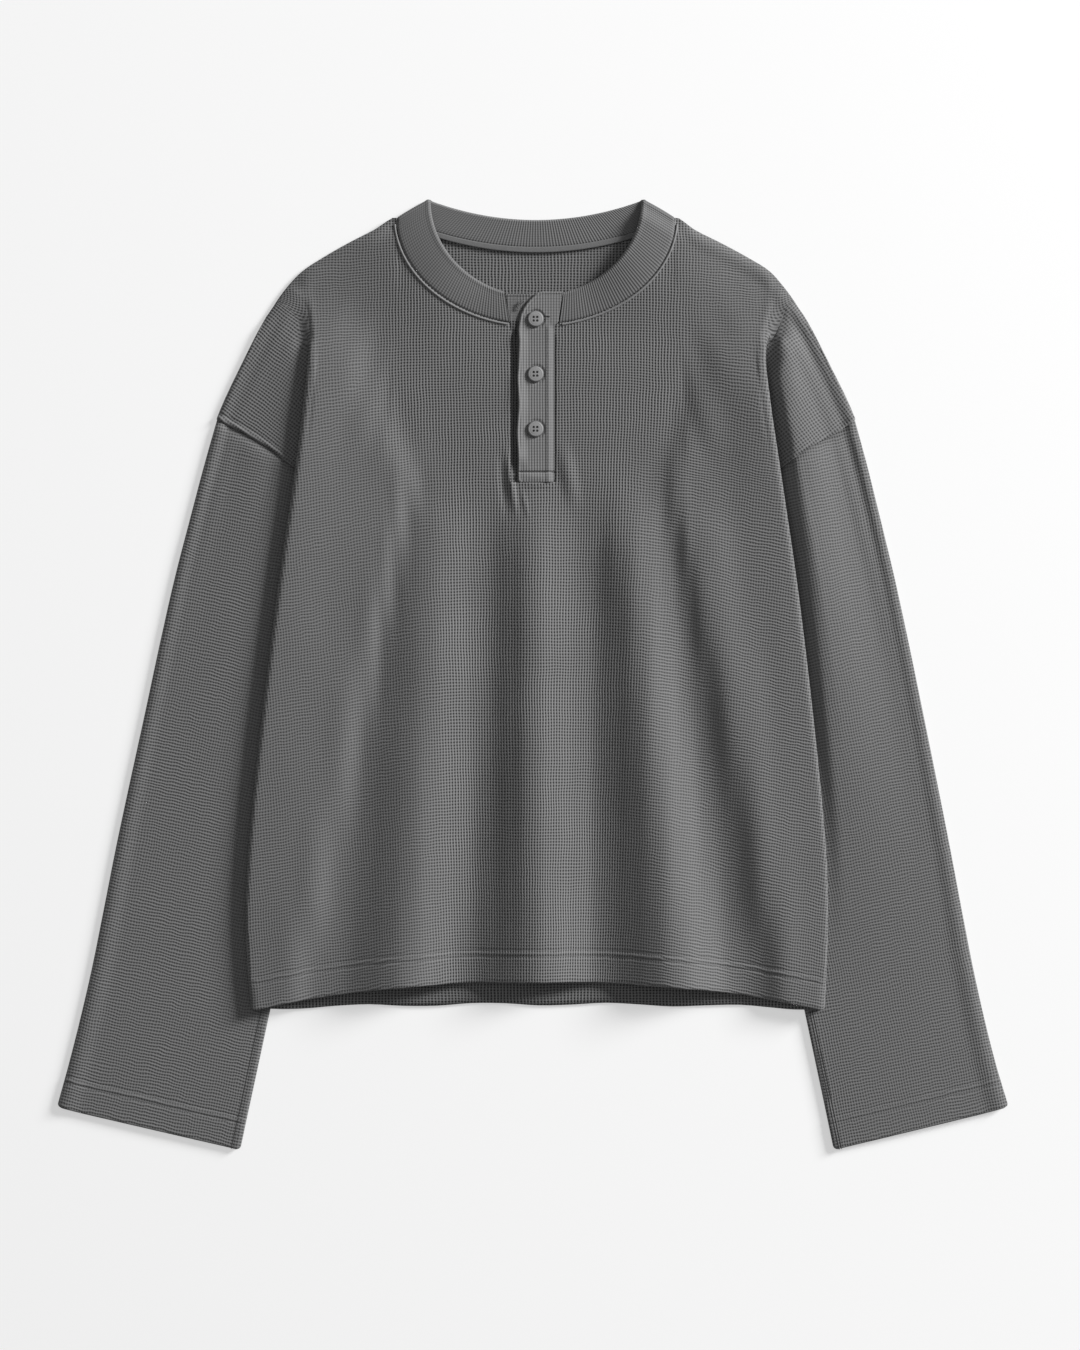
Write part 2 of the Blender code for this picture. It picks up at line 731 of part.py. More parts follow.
def ramp_line(side, y, distance):
    """A line that runs inside the sleeve's inner edge, where the back climbs over it."""
    seam = side.sign * seam_line(side, y) - distance
    sleeve = side.sign * sleeve_inner_x(side, y) - distance
    return side.sign * (seam if y > UNDERARM_Y else min(seam, sleeve))


def ramp_top_line(side, y):
    return ramp_line(side, y, RAMP_FOOT - RAMP_WIDTH - 1)


def ramp_foot_line(side, y):
    return ramp_line(side, y, RAMP_FOOT)


BACK_LINES = ((seam_line, 0.0), (ramp_top_line, 7.0), (ramp_foot_line, 18.0))


def back_columns(side):
    """The back's columns from its side edge to the middle, each with the line that it follows."""
    columns = []
    for line, up in BACK_LINES:
        top = Vector((line(side, TOP_Y), TOP_Y + up - BACK_INSET / 2, 0.0))
        columns.append((Column(side, top, line(side, BODY_EDGE[-1].y), 1.0), line))
    start = (TOP_Y + BACK_LINES[-1][1] - OUTLINE[0].y) / (TOP_Y - OUTLINE[0].y)
    shares = [mix(1 - start, 1, k / BACK_SHOULDER_COLUMNS) for k in range(1, BACK_SHOULDER_COLUMNS)]
    shoulder = [shoulder_top(side, share, BACK_INSET) for share in shares]
    half = BACK_NECK_COLUMNS // 2
    ease_down = Vector((0, PANEL_EASE, 0))
    neck = [seam_back(side.sign * (1 - k / half)) - ease_down for k in range(half + 1)]
    foot = columns[-1][0]
    inner = half_columns(side, [foot.top, *shoulder, *neck], HEM_CENTRE_X, foot.hem_x)
    return columns + [(column, ramp_foot_line) for column in inner[1:]]


def back_cap(side, i, inner):
    points = []
    for along in (0.8, 0.6, 0.4, 0.2, 0.0):
        if i > BACK_ARM_ROW:
            points.append(None)
            continue
        point = cap_point(side, i / BACK_ARM_ROW, along, inner, BACK_INSET)
        point.z = layer(0)
        points.append(point)
    return points


def make_back(material):
    right = back_columns(RIGHT)
    left = back_columns(LEFT)[-2::-1]
    grid = []
    for i, row in enumerate(BACK_ROWS):
        points = []
        for column, line in right + left:
            point = panel_point(column, row, line, back_hem_y, 1)
            point.z = back_z(point.x, point.y)
            points.append(point)
        flat = [Vector((end.x, end.y, 0.0)) for end in (points[0], points[-1])]
        grid.append(back_cap(RIGHT, i, flat[0])[::-1] + points + back_cap(LEFT, i, flat[1]))
    return sheet("back", grid, WALL, material)


# Sleeves


def sleeve_plan(side, along, down):
    """A point across and along the flattened sleeve, kept inside its two rolled edges."""
    reach = SLEEVE_TOP_REACH
    drop = Vector((side.sign * SLEEVE_LEAN, -1.0, 0.0)).normalized() * SLEEVE_DROP
    top = seam_point(ARMHOLE, side, along * reach) + drop
    point = mix(top, seam_point(CUFF, side, along), down)
    outer_top = seam_point(ARMHOLE, side, 0.0) + drop
    outer_y = mix(outer_top.y, CUFF[0].y, down)
    straight = mix(outer_top, seam_point(CUFF, side, 0.0), down)
    bow = Vector((outline_x(side, outer_y), outer_y, 0.0)) - straight
    across = seam_point(CUFF, side, 0.0) - seam_point(CUFF, side, 1.0)
    inset = (WALL / 2 + PLY / 2) * (1 - 2 * along)
    return point + bow * (1 - along) - across.normalized() * inset


def sleeve_ring(side, down):
    """One ring of the sleeve: its top wall, the inner roll, its under wall, the outer roll."""
    radius = PLY / 2
    across = (seam_point(CUFF, side, 0.0) - seam_point(CUFF, side, 1.0)).normalized()
    opening = open_share(side, lambda along: sleeve_plan(side, along, down))
    alongs = [opening * share for share in SLEEVE_OPEN]
    ring = []
    for along in alongs + [mix(opening, 1.0, share) for share in SLEEVE_COVERED]:
        point = sleeve_plan(side, along, down)
        point.z = outer_layer_z(side, point.x, point.y)
        ring.append(point)
    for along, out, backwards in ((1.0, -1, False), (0.0, 1, True)):
        centre = sleeve_plan(side, along, down)
        degrees = (-30, 30) if backwards else (30, -30)
        roll = []
        for angle in map(math.radians, degrees):
            point = centre + across * (out * radius * math.cos(angle))
            point.z = (layer(0) + layer(1)) / 2 + radius * math.sin(angle)
            roll.append(point)
        ring += roll
        if not backwards:
            under = [sleeve_plan(side, share, down) for share in SLEEVE_BACK_ALONG]
            ring += [point + Vector((0, 0, layer(0))) for point in under]
    return ring if side is RIGHT else ring[::-1]


def make_sleeve(side, material):
    rings = [sleeve_ring(side, down) for down in SLEEVE_ROWS]
    return sheet(f"sleeve_{side.name}", rings, WALL, material, closed=True)


# Neck band and tape


def band_front_pair(side, share):
    """Seam and free edge of the band's front half, from the shoulder at 0 to the placket at 1."""
    rise = ease(share * side.seam_end / CORNER_RISE)
    over_back = BAND_WALL * 1.5 + GAP
    seam = seam_front(side.seam_end * share, side)
    seam.z = mix(over_back, NECK_SEAM_Z + BAND_LIFT, rise)
    free = free_front(side.free_end * share, side)
    free.z = mix(over_back, NECK_SEAM_Z + BAND_FREE_LIFT, rise)
    return seam, free


def band_fold_pair(side, degrees):
    """Seam and free edge where the band folds over from the front to the back."""
    seam = seam_back(side.sign)
    free = free_back(side.sign)
    along = (free - seam).normalized()
    out = Vector((-along.y, along.x, 0.0)) * -side.sign
    radius = (BAND_WALL + GAP) / 2
    angle = math.radians(degrees)
    step = out * radius * math.cos(angle)
    step.z = BAND_WALL / 2 + radius * (1 + math.sin(angle))
    return seam + step, free + step


def band_back_pair(share):
    rest = Vector((0, 0, BAND_WALL / 2))
    return seam_back(share) + rest, free_back(share) + rest


def even_count(length):
    return 2 * round(length / RIB_PITCH)


def band_stations():
    """Pairs round the band, two to a rib, from the placket by the right shoulder to its other side."""
    middle_radius = (SEAM_HALF + FREE_HALF + SEAM_FRONT_DROP + FREE_FRONT_DROP) / 4
    front_steps = even_count(middle_radius * RIGHT.seam_end * FRONT_RIB_SHARE)
    back_steps = even_count(SEAM_HALF + FREE_HALF)
    stations = [band_front_pair(RIGHT, 1 - k / front_steps) for k in range(front_steps + 1)]
    stations += [band_fold_pair(RIGHT, degrees) for degrees in (50, 10, -30, -65)]
    stations += [band_back_pair(-1 + 2 * k / back_steps) for k in range(back_steps + 1)]
    stations += [band_fold_pair(LEFT, degrees) for degrees in (-65, -30, 10, 50)]
    stations += [band_front_pair(LEFT, k / front_steps) for k in range(front_steps + 1)]
    return stations


def make_band(material):
    """The ribs stand up on whichever face of the band looks up."""
    stations = band_stations()
    grid = [[pair[0] for pair in stations], [pair[1] for pair in stations]]
    return ribbed_sheet("neck_band", grid, BAND_WALL, material, lambda point: point.z > BAND_WALL)


def make_tape(material):
    """The tape covers the back neck seam inside the collar."""
    z = BAND_WALL + GAP * 1.5 + TAPE_WALL / 2
    grid = [[], []]
    for k in range(TAPE_STEPS + 1):
        seam = seam_back(TAPE_REACH * (2 * k / TAPE_STEPS - 1))
        grid[0].append(seam + Vector((0, TAPE_OVERLAP, z)))
        grid[1].append(seam + Vector((0, TAPE_OVERLAP - TAPE_WIDTH, z)))
    return sheet("neck_tape", grid, TAPE_WALL, material)


# Placket and buttons

Cut = namedtuple("Cut", "y left right")
TOP_STRIP = [
    Cut(PLACKET_TOP_Y, 0.0, 24.2),
    Cut(303.0, -4.6, 23.8),
    Cut(299.0, -7.6, 23.2),
    Cut(293.0, -9.6, 22.4),
    Cut(282.0, -10.4, 20.6),
    Cut(278.4, -10.4, 17.2),
    Cut(265.0, -10.6, 17.2),
    Cut(246.0, -11.2, 17.2),
    Cut(238.0, -12.0, 17.2),
    Cut(216.0, -11.2, 17.2),
    Cut(194.0, -12.4, 17.2),
    Cut(176.0, -11.4, 17.2),
    Cut(PLACKET_END_Y, -11.6, 17.2),
]
UNDER_STRIP = [
    Cut(PLACKET_TOP_Y, -21.4, UNDER_END_X),
    Cut(283.0, -17.5, UNDER_END_X),
    Cut(270.0, -17.2, UNDER_END_X),
    Cut(210.0, -17.2, UNDER_END_X),
    Cut(194.0, -17.2, UNDER_END_X),
    Cut(176.0, -17.2, UNDER_END_X),
    Cut(PLACKET_END_Y, -17.2, UNDER_END_X),
]


def placket_z(x, y):
    """The front's height carried on up between the band's two ends."""
    level = ease((y - PLACKET_NECK_Y) / PLACKET_NECK_REACH)
    return mix(torso_z(x, min(y, PLACKET_NECK_Y)), NECK_SEAM_Z + BAND_LIFT, level)


def make_strip(name, cuts, wall, lift, material):
    """A strip of the placket with ribs that run down it."""
    width = cuts[-1].right - cuts[-1].left
    steps = even_count(width)
    grid = []
    for cut in reversed(cuts):
        row = []
        for k in range(steps + 1):
            x = mix(cut.left, cut.right, 1 - k / steps)
            row.append(Vector((x, cut.y, placket_z(x, cut.y) + lift)))
        grid.append(row)
    return ribbed_sheet(name, grid, wall, material, lambda point: True)


def button_profile():
    """Radius and height down a button's outside, from the middle of its dished face to its underside."""
    dish_z = BUTTON_HEIGHT - BUTTON_EDGE
    return [
        (0.0, dish_z),
        (BUTTON_DISH_RADIUS, dish_z),
        (BUTTON_DISH_RADIUS + BUTTON_EDGE, BUTTON_HEIGHT),
        (BUTTON_RADIUS - BUTTON_EDGE, BUTTON_HEIGHT),
        (BUTTON_RADIUS, dish_z),
        (BUTTON_RADIUS, BUTTON_EDGE),
        (BUTTON_RADIUS - BUTTON_EDGE, 0.0),
        (0.0, 0.0),
    ]


def profile_mesh(name, profile):
    """A line of points that a Screw modifier turns about Z."""
    mesh = bpy.data.meshes.new(name)
    points = [Vector((radius, 0.0, z)) * MM for radius, z in profile]
    mesh.from_pydata(points, [(k, k + 1) for k in range(len(points) - 1)], [])
    return mesh


def holes_mesh():
    """Four thread holes that go right through a button."""
    mesh = bmesh.new()
    for x, y in ((-1, -1), (1, -1), (1, 1), (-1, 1)):
        made = bmesh.ops.create_cone(
            mesh, cap_ends=True, segments=HOLE_SIDES, radius1=HOLE_RADIUS * MM,
            radius2=HOLE_RADIUS * MM, depth=4 * BUTTON_HEIGHT * MM,
        )
        shift = Vector((x, y, 0.0)) * HOLE_OFFSET * MM
        bmesh.ops.translate(mesh, verts=made["verts"], vec=shift)
    data = bpy.data.meshes.new("thread_holes")
    mesh.to_mesh(data)
    mesh.free()
    return data


def make_button(number, y, profile, holes):
    z = placket_z(BUTTON_X, y) + PLACKET_LIFT + PLACKET_WALL / 2 + RIB_RISE + BUTTON_SEAT
    obj = bpy.data.objects.new(f"button_{number}", profile)
    cutter = bpy.data.objects.new(f"thread_holes_{number}", holes)
    for thing, home in ((obj, SHIRT), (cutter, CUTTERS)):
        home.objects.link(thing)
        thing.location = Vector((BUTTON_X, y, z)) * MM
    cutter.hide_render = True
    cutter.display_type = "WIRE"
    turned = obj.modifiers.new("turned", "SCREW")
    turned.steps = BUTTON_SIDES
    turned.render_steps = BUTTON_SIDES
    turned.use_merge_vertices = True
    turned.merge_threshold = 0.00001
    cut = obj.modifiers.new("thread holes", "BOOLEAN")
    cut.operation = "DIFFERENCE"
    cut.solver = "EXACT"
    cut.object = cutter


# Build


def clear_scene():
    for obj in list(bpy.data.objects):
        bpy.data.objects.remove(obj, do_unlink=True)


def collection(name):
    made = bpy.data.collections.new(name)
    bpy.context.scene.collection.children.link(made)
    return made


def matte(name, colour, roughness):
    material = bpy.data.materials.new(name)
    material.use_nodes = True
    shader = material.node_tree.nodes["Principled BSDF"]
    shader.inputs["Base Color"].default_value = (*colour, 1.0)
    shader.inputs["Roughness"].default_value = roughness
    material.diffuse_color = (*colour, 1.0)
    return material


clear_scene()
SHIRT = collection("henley_shirt")
CUTTERS = collection("cutters")
CUTTERS.hide_render = True

make_front(matte("front_waffle", (0.115, 0.115, 0.115), 0.95))
make_back(matte("back_waffle", (0.105, 0.105, 0.105), 0.95))
make_sleeve(RIGHT, matte("right_sleeve_waffle", (0.11, 0.11, 0.11), 0.95))
make_sleeve(LEFT, matte("left_sleeve_waffle", (0.11, 0.11, 0.11), 0.95))
make_band(matte("band_rib", (0.125, 0.125, 0.125), 0.95))
make_tape(matte("tape_cotton", (0.15, 0.15, 0.15), 0.9))
STRIP_RIB = matte("placket_rib", (0.13, 0.13, 0.13), 0.95)
UNDER_RIB = matte("under_placket_rib", (0.1, 0.1, 0.1), 0.95)
make_strip("placket_top", TOP_STRIP, PLACKET_WALL, PLACKET_LIFT, STRIP_RIB)
make_strip("placket_under", UNDER_STRIP, UNDER_WALL, UNDER_LIFT, UNDER_RIB)
BUTTON_PROFILE = profile_mesh("button_profile", button_profile())
BUTTON_PROFILE.materials.append(matte("button_plastic", (0.2, 0.2, 0.2), 0.45))
THREAD_HOLES = holes_mesh()
for NUMBER, BUTTON_Y in enumerate(BUTTON_YS, 1):
    make_button(NUMBER, BUTTON_Y, BUTTON_PROFILE, THREAD_HOLES)
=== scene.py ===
"""The looks of a long-sleeved henley shirt in waffle knit, laid flat on its back.

Shapes are worked out in millimetres, in the part's own frame, and turned to metres as each mesh is
made. Cloth is a fine grid of points on the same surfaces as the solids, with the creases, seams and
puckers added, and a wall put on it. Its UV map "knit" counts the knit's cells across and along.
"""

import math
from bisect import bisect_right
from collections import namedtuple

import bmesh
import bpy
import numpy as np
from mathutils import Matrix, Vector


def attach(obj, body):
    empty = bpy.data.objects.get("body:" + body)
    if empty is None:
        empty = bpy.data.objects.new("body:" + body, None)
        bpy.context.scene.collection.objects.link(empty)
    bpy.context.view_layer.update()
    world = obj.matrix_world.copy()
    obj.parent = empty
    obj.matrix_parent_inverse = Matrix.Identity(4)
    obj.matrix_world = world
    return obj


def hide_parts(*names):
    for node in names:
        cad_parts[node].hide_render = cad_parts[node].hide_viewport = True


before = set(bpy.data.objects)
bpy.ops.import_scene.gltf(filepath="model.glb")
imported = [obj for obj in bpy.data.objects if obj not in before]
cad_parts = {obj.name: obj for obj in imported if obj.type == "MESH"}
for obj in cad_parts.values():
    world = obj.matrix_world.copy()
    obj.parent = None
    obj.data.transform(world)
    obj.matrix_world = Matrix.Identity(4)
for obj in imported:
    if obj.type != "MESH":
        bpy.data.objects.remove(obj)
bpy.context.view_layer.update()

MM = 0.001

# Cloth
WALL = 1.5                 # waffle knit
GAP = 0.3                  # air between pieces that are sewn or lie together
PLY = WALL + GAP
BAND_WALL = 2.4            # the neck band is folded double
CENTRE_X = 2.8             # middle of the neckline
BAND_RIB_PITCH = 2.15
BAND_RIB_RISE = 0.096      # from a rib's groove to its crest

# Body
TOP_Y = 311.0              # where the shoulder's tuck starts on the outline
FRONT_HEM_Y = -245.5       # at the middle, the sides hang lower
FRONT_HEM_DIP = 23.0
BACK_HEM_Y = -264.0
BACK_HEM_DIP = 3.6
HEM_WAVE = 1.2
HEM_WAVE_LENGTH = 100.0
HEM_WAVE_X = -38.0
HEM_HALF = 228.0
HEM_CENTRE_X = 5.0
HEM_POWER = 2.3            # how late the front hem drops towards the sides
BACK_INSET = 3.5           # the back ends inside the front's edge, which turns down round it
ROLLED_Z = 1.2             # height of the front's edge where it turns down at the outline

# Neckline, as half ellipses in front and parabolas behind, about CENTRE_X
SEAM_HALF = 111.4
SEAM_Y = 365.6
SEAM_FRONT_DROP = 85.2
SEAM_BACK_DROP = 23.6
FREE_HALF = 85.2
FREE_Y = 379.0
FREE_FRONT_DROP = 77.0
FREE_BACK_DROP = 15.8
PANEL_EASE = 0.3           # the panels' edges stay this far outside the seam

# Placket and buttons
NOTCH_HALF = 17.6          # the front is cut this far on each side of the placket
PLACKET_END_Y = 154.4
PLACKET_NECK_Y = 262.0     # from here up the placket levels out to the height of the band
PLACKET_NECK_REACH = 20.0
PLACKET_WALL = 1.4
PLACKET_LIFT = 0.85        # middle of the top strip above the middle of the front's wall
UNDER_WALL = 1.2
UNDER_END_X = 9.0
BUTTON_X = 2.4
BUTTON_YS = (284.4, 240.4, 196.4)
BUTTON_SEAT = 0.1          # a button stands this far above the strip
HOLE_OFFSET = 1.42         # a thread hole's middle lies this far from the button's, both ways
HOLE_RADIUS = 0.98

# Neck tape
TAPE_WALL = 0.8
TAPE_REACH = 0.76          # share of the back neckline
TAPE_SPARE = 1.06          # the tape's ends run on by this factor
TAPE_OVERLAP = 0.4         # how far the tape covers the neck seam

# Heights above the surface that the shirt rests on
CLEAR = 2.4                # middle of the front above the middle of what it lies on
TORSO_LOFT = 1.2
HEM_LOFT = 0.6             # more of it towards the hem
NECK_SEAM_Z = 4.6
NECK_CORNER_Z = 3.4        # where the neck seam meets the shoulder
CORNER_RISE = math.radians(30)  # the neck seam gains its height over this much of its ellipse
BAND_LIFT = 0.3            # seam edge of the band above the front's edge
BAND_FREE_LIFT = 1.2
PEAK_OUT = 0.9             # the band's free edge stands out this far where it folds at a shoulder
FOLD_INSET = 0.6           # the band's folds at the shoulders are pressed in by this,
SEAM_END_INSET = 1.6       # and by this more at the shoulder seam
NECK_LIFT = 3.2            # the front of the neck stands this far off the back beside each shoulder
NECK_LIFT_FULL = 12.0      # from this many degrees of the neck seam's ellipse on,
NECK_LIFT_FALL = (34.0, 70.0)   # and sinks again between these
FREE_LIFT = {"right": 1.25, "left": 1.7}    # times the seam's lift is how far the free edge goes up
NECK_LIFT_REACH = 55.0     # the front panel sinks from the seam's lift over this length
TOP_RISE = 0.05            # share of the front's length in which it rises from its upper edge
CREST_RISE = 10.5          # the sleeve climbs to its crest over this width
CREST_FALL = (0.15, 0.8)   # and falls from it between these shares of the way to the outline
CREST_CLOSING = 1.4        # the crest is at its full height before the tuck has quite closed
CREST_END_Y = -240.0       # the crest fades out over this length above here
CREST_REACH = 360.0
EDGE_SOFTNESS = 34.0       # how far in the body's rolled edge fades
RAMP_FOOT = 25.0           # the back starts to climb this far inside the sleeve's inner edge
FRONT_RAMP_FOOT = 28.0
RAMP_WIDTH = 15.0
RAMP_START = 17.0          # the climb comes in over this length below the underarm

# The wearer's two sides, with the angles where the band's seam and free edge stop at the placket,
# with where the front's cut beside the placket meets the neck seam, and with how high the sleeve's
# crest beside the body's edge and its soft middle stand
Side = namedtuple("Side", "name sign x_column seam_end free_end notch_top_x sleeve_crest sleeve_loft")
RIGHT = Side("right", -1, "right_x", math.radians(79.2), math.radians(73.1), -18.6, 1.6, 0.2)
LEFT = Side("left", 1, "left_x", math.radians(80.3), math.radians(75.3), 21.0, 9.0, 0.6)
SIDES = (RIGHT, LEFT)

# Outer edge of the lying shirt, from the neck seam over the shoulder and down the sleeve
Edge = namedtuple("Edge", "y right_x left_x")
OUTLINE = [
    Edge(367.0, -111.0, 116.5),
    Edge(357.0, -124.4, 127.6),
    Edge(344.0, -149.5, 153.0),
    Edge(325.0, -181.2, 186.8),
    Edge(311.0, -195.8, 200.6),
    Edge(287.0, -212.3, 217.0),
    Edge(252.0, -230.7, 235.5),
    Edge(205.0, -252.4, 257.8),
    Edge(156.0, -266.0, 270.8),
    Edge(108.0, -278.8, 282.8),
    Edge(60.0, -290.8, 294.0),
    Edge(-36.0, -311.6, 314.0),
    Edge(-132.0, -332.4, 333.2),
    Edge(-238.0, -353.6, 353.6),
    Edge(-300.0, -368.4, 368.0),
    Edge(-346.0, -380.8, 381.2),
]

# Side edge of the body: the fold over the tuck above, the side seam's roll below
BODY_EDGE = [
    Edge(311.0, -195.6, 200.4),
    Edge(294.0, -181.0, 193.0),
    Edge(268.0, -178.8, 186.8),
    Edge(230.0, -181.8, 188.8),
    Edge(190.0, -186.2, 194.3),
    Edge(150.0, -191.8, 200.2),
    Edge(60.0, -204.6, 213.2),
    Edge(-60.0, -219.2, 227.2),
    Edge(-150.0, -227.6, 235.2),
    Edge(-210.0, -229.0, 236.0),
    Edge(-268.0, -224.8, 233.6),
]

# The tuck under the body's edge: how deep, how far closed from 0 to 1, how high its top stands
Tuck = namedtuple("Tuck", "y depth closed edge_z")
TUCK = [
    Tuck(311.0, 4.5, 0.0, 2.9),
    Tuck(294.0, 4.5, 0.0, 4.4),
    Tuck(280.0, 5.0, 0.15, 6.2),
    Tuck(266.0, 8.0, 0.5, 8.2),
    Tuck(248.0, 18.0, 0.9, 11.0),
    Tuck(225.0, 34.0, 1.0, 12.3),
    Tuck(190.0, 55.0, 1.0, 12.6),
    Tuck(150.0, 74.0, 1.0, 12.6),
    Tuck(136.0, 80.0, 1.0, 12.6),
    Tuck(60.0, 44.0, 1.0, 12.4),
    Tuck(-20.0, 14.0, 1.0, 12.2),
    Tuck(-70.0, 4.8, 1.0, 11.8),
    Tuck(-268.0, 4.8, 1.0, 10.4),
]
UNDERARM_Y = 136.0
TUCK_SAG = 29.0            # the tuck's rows sink by this where it is TUCK_SAG_DEPTH deep
TUCK_SAG_DEPTH = 80.0
ROLL_SQUARE = 0.84         # the body's edge rolls over tightly, squarer than a circle's 0.71
SHOULDER_SLOPE = 1.45      # fall of the outline past the tuck's start, for each step outwards
SLOPE_REACH = 7.0          # width of the soft slope that the tuck starts as
OPEN_ROLL = 1.0            # and radius of the body's edge there
SEAM_POINTS = 6            # a row's points past the body's edge below the underarm, to the side seam

# Seams across the sleeve's two ends, from its outer edge at 0 to the underarm at 1
Seam = namedtuple("Seam", "along y right_x left_x")
ARMHOLE = [
    Seam(0.0, 204.5, -252.4, 257.8),
    Seam(0.18, 191.7, -228.0, 240.0),
    Seam(0.34, 178.5, -206.5, 216.0),
    Seam(0.47, 165.5, -189.6, 199.4),
    Seam(0.72, 147.0, -152.0, 161.0),
    Seam(1.0, 136.0, -112.6, 121.8),
]
CUFF = [
    Seam(0.0, -346.0, -380.8, 381.2),
    Seam(0.06, -348.5, -372.5, 373.0),
    Seam(1.0, -380.6, -234.2, 241.4),
]
SLEEVE_TOP_REACH = 0.93    # the sleeve's top stops short of the underarm point
SLEEVE_DROP = 0.8          # and starts this far below the armhole seam
SLEEVE_LEAN = 0.23         # the sleeve's way out for each step down

# Soft folds that fan down the front from the placket's end, each valley and crest in turn from the
# wearer's right: where it runs and how high it stands at three heights
FoldLine = namedtuple("FoldLine", "upper_x middle_x hem_x upper_rise middle_rise hem_rise")
FOLD_LINES = [
    FoldLine(-120.4, -138.0, -156.4, 1.6, 2.8, 3.4),
    FoldLine(-79.0, -88.0, -99.0, 6.0, 10.6, 13.3),
    FoldLine(-38.0, -41.0, -51.0, 0.2, 0.4, 0.4),
    FoldLine(0.6, 0.6, 4.4, 6.8, 10.4, 13.3),
    FoldLine(43.4, 48.4, 52.6, 0.2, 0.0, 0.2),
    FoldLine(79.4, 96.2, 111.4, 7.6, 11.6, 14.4),
    FoldLine(111.0, 131.6, 157.4, 3.0, 1.0, 0.2),
    FoldLine(143.6, 172.0, 203.0, 4.6, 5.4, 4.6),
    FoldLine(170.0, 200.0, 226.0, 2.2, 3.0, 4.0),
]
FOLD_UPPER_Y = 92.0        # height of the table's upper columns
FOLD_HEM_Y = -212.0        # and of its hem columns, with the middle ones halfway
FOLD_TOP_Y = 172.0         # the folds grow from here down,
FOLD_REACH = 80.0          # over this length

# Rows of the front and back, as shares of the way to the hem at the middle and at the side
Row = namedtuple("Row", "middle side")
ROWS = [
    Row(0.0, 0.0), Row(0.0045, 0.0045), Row(0.03, 0.025), Row(0.075, 0.06),
    Row(0.125, 0.1), Row(0.18, 0.155), Row(0.24, 0.252), Row(0.29, 0.305),
    Row(0.345, 0.36), Row(0.4, 0.415), Row(0.46, 0.47), Row(0.525, 0.53),
    Row(0.59, 0.595), Row(0.655, 0.66), Row(0.725, 0.73), Row(0.795, 0.8),
    Row(0.865, 0.865), Row(0.935, 0.935), Row(1.0, 1.0),
]
ARM_ROW = 6                # the row on the armhole seam and at the placket's end
BACK_ROWS = [
    Row(0.0, 0.0), Row(0.03, 0.03), Row(0.08, 0.09), Row(0.13, 0.16), Row(0.19, 0.23),
    Row(0.245, 0.2985), Row(0.28, 0.332), Row(0.33, 0.38), Row(0.4, 0.44),
    Row(0.48, 0.51), Row(0.56, 0.58), Row(0.64, 0.655), Row(0.73, 0.74),
    Row(0.82, 0.825), Row(0.91, 0.91), Row(1.0, 1.0),
]
BACK_ARM_ROW = 5

SHOULDER_COLUMNS = 5
NECK_COLUMNS = 9
PLACKET_COLUMNS = 3
BACK_SHOULDER_COLUMNS = 3
BACK_NECK_COLUMNS = 8
# Shares of the way in from the cap's or sleeve's outer edge to where the body covers it, and on
CAP_OPEN = (0.0, 0.025, 0.12, 0.28, 0.45, 0.6, 0.74, 0.87, 1.0)
CAP_COVERED = (0.4, 0.75, 0.97)
SLEEVE_OPEN = (0.0, 0.14, 0.3, 0.46, 0.6, 0.72, 0.82, 0.91, 1.0)
SLEEVE_COVERED = (0.35, 0.7, 1.0)
MOST_OPEN = 0.88           # the open share of a cap or sleeve stays below this
BACK_CAP_ALONG = (0.8, 0.6, 0.4, 0.2, 0.0)
SLEEVE_BACK_ALONG = (1.0, 0.8, 0.55, 0.36, 0.18, 0.0)
SLEEVE_ROWS = (0.0, 0.06, 0.14, 0.23, 0.32, 0.42, 0.52, 0.62, 0.72, 0.8, 0.86, 0.93, 1.0)
PRESSED = 2.5              # the sleeve stays flat this far out from the body's edge
FREED = 8.0                # it is free of the body this far below the hem,
FREED_REACH = 40.0         # and opens to its full width over this length


def layer(number):
    """Height of the middle of a wall, counting up from the one on the surface."""
    return WALL / 2 + number * PLY


def mix(start, end, share):
    return start + (end - start) * share


def ease(share):
    share = min(max(share, 0.0), 1.0)
    return share * share * (3 - 2 * share)


def read(table, place, column):
    """A column's value at a place along the table's first column, on a smooth curve."""
    rows = sorted(table)
    keys = [row[0] for row in rows]
    i = min(max(bisect_right(keys, place) - 1, 0), len(rows) - 2)
    around = [rows[min(max(k, 0), len(rows) - 1)] for k in range(i - 1, i + 3)]
    at = [row[0] for row in around]
    value = [getattr(row, column) for row in around]
    span = at[2] - at[1]
    t = min(max((place - at[1]) / span, 0.0), 1.0)
    start_slope = (value[2] - value[0]) / (at[2] - at[0]) * span
    end_slope = (value[3] - value[1]) / (at[3] - at[1]) * span
    return (
        value[1] * (2 * t**3 - 3 * t**2 + 1)
        + start_slope * (t**3 - 2 * t**2 + t)
        + value[2] * (3 * t**2 - 2 * t**3)
        + end_slope * (t**3 - t**2)
    )


def outline_x(side, y):
    return read(OUTLINE, y, side.x_column)


def body_edge_x(side, y):
    """Middle of the wall at the body's side edge, half a wall inside the outline."""
    return read(BODY_EDGE, y, side.x_column) - side.sign * WALL / 2


def seam_point(table, side, along):
    return Vector((read(table, along, side.x_column), read(table, along, "y"), 0.0))


def side_of(x):
    return RIGHT if x < HEM_CENTRE_X else LEFT


# Heights


def sleeve_inner_x(side, y):
    """The sleeve's inner edge, straight from near the underarm to the cuff."""
    top = seam_point(ARMHOLE, side, SLEEVE_TOP_REACH)
    cuff = seam_point(CUFF, side, 1.0)
    return mix(top.x, cuff.x, (top.y - y) / (top.y - cuff.y))


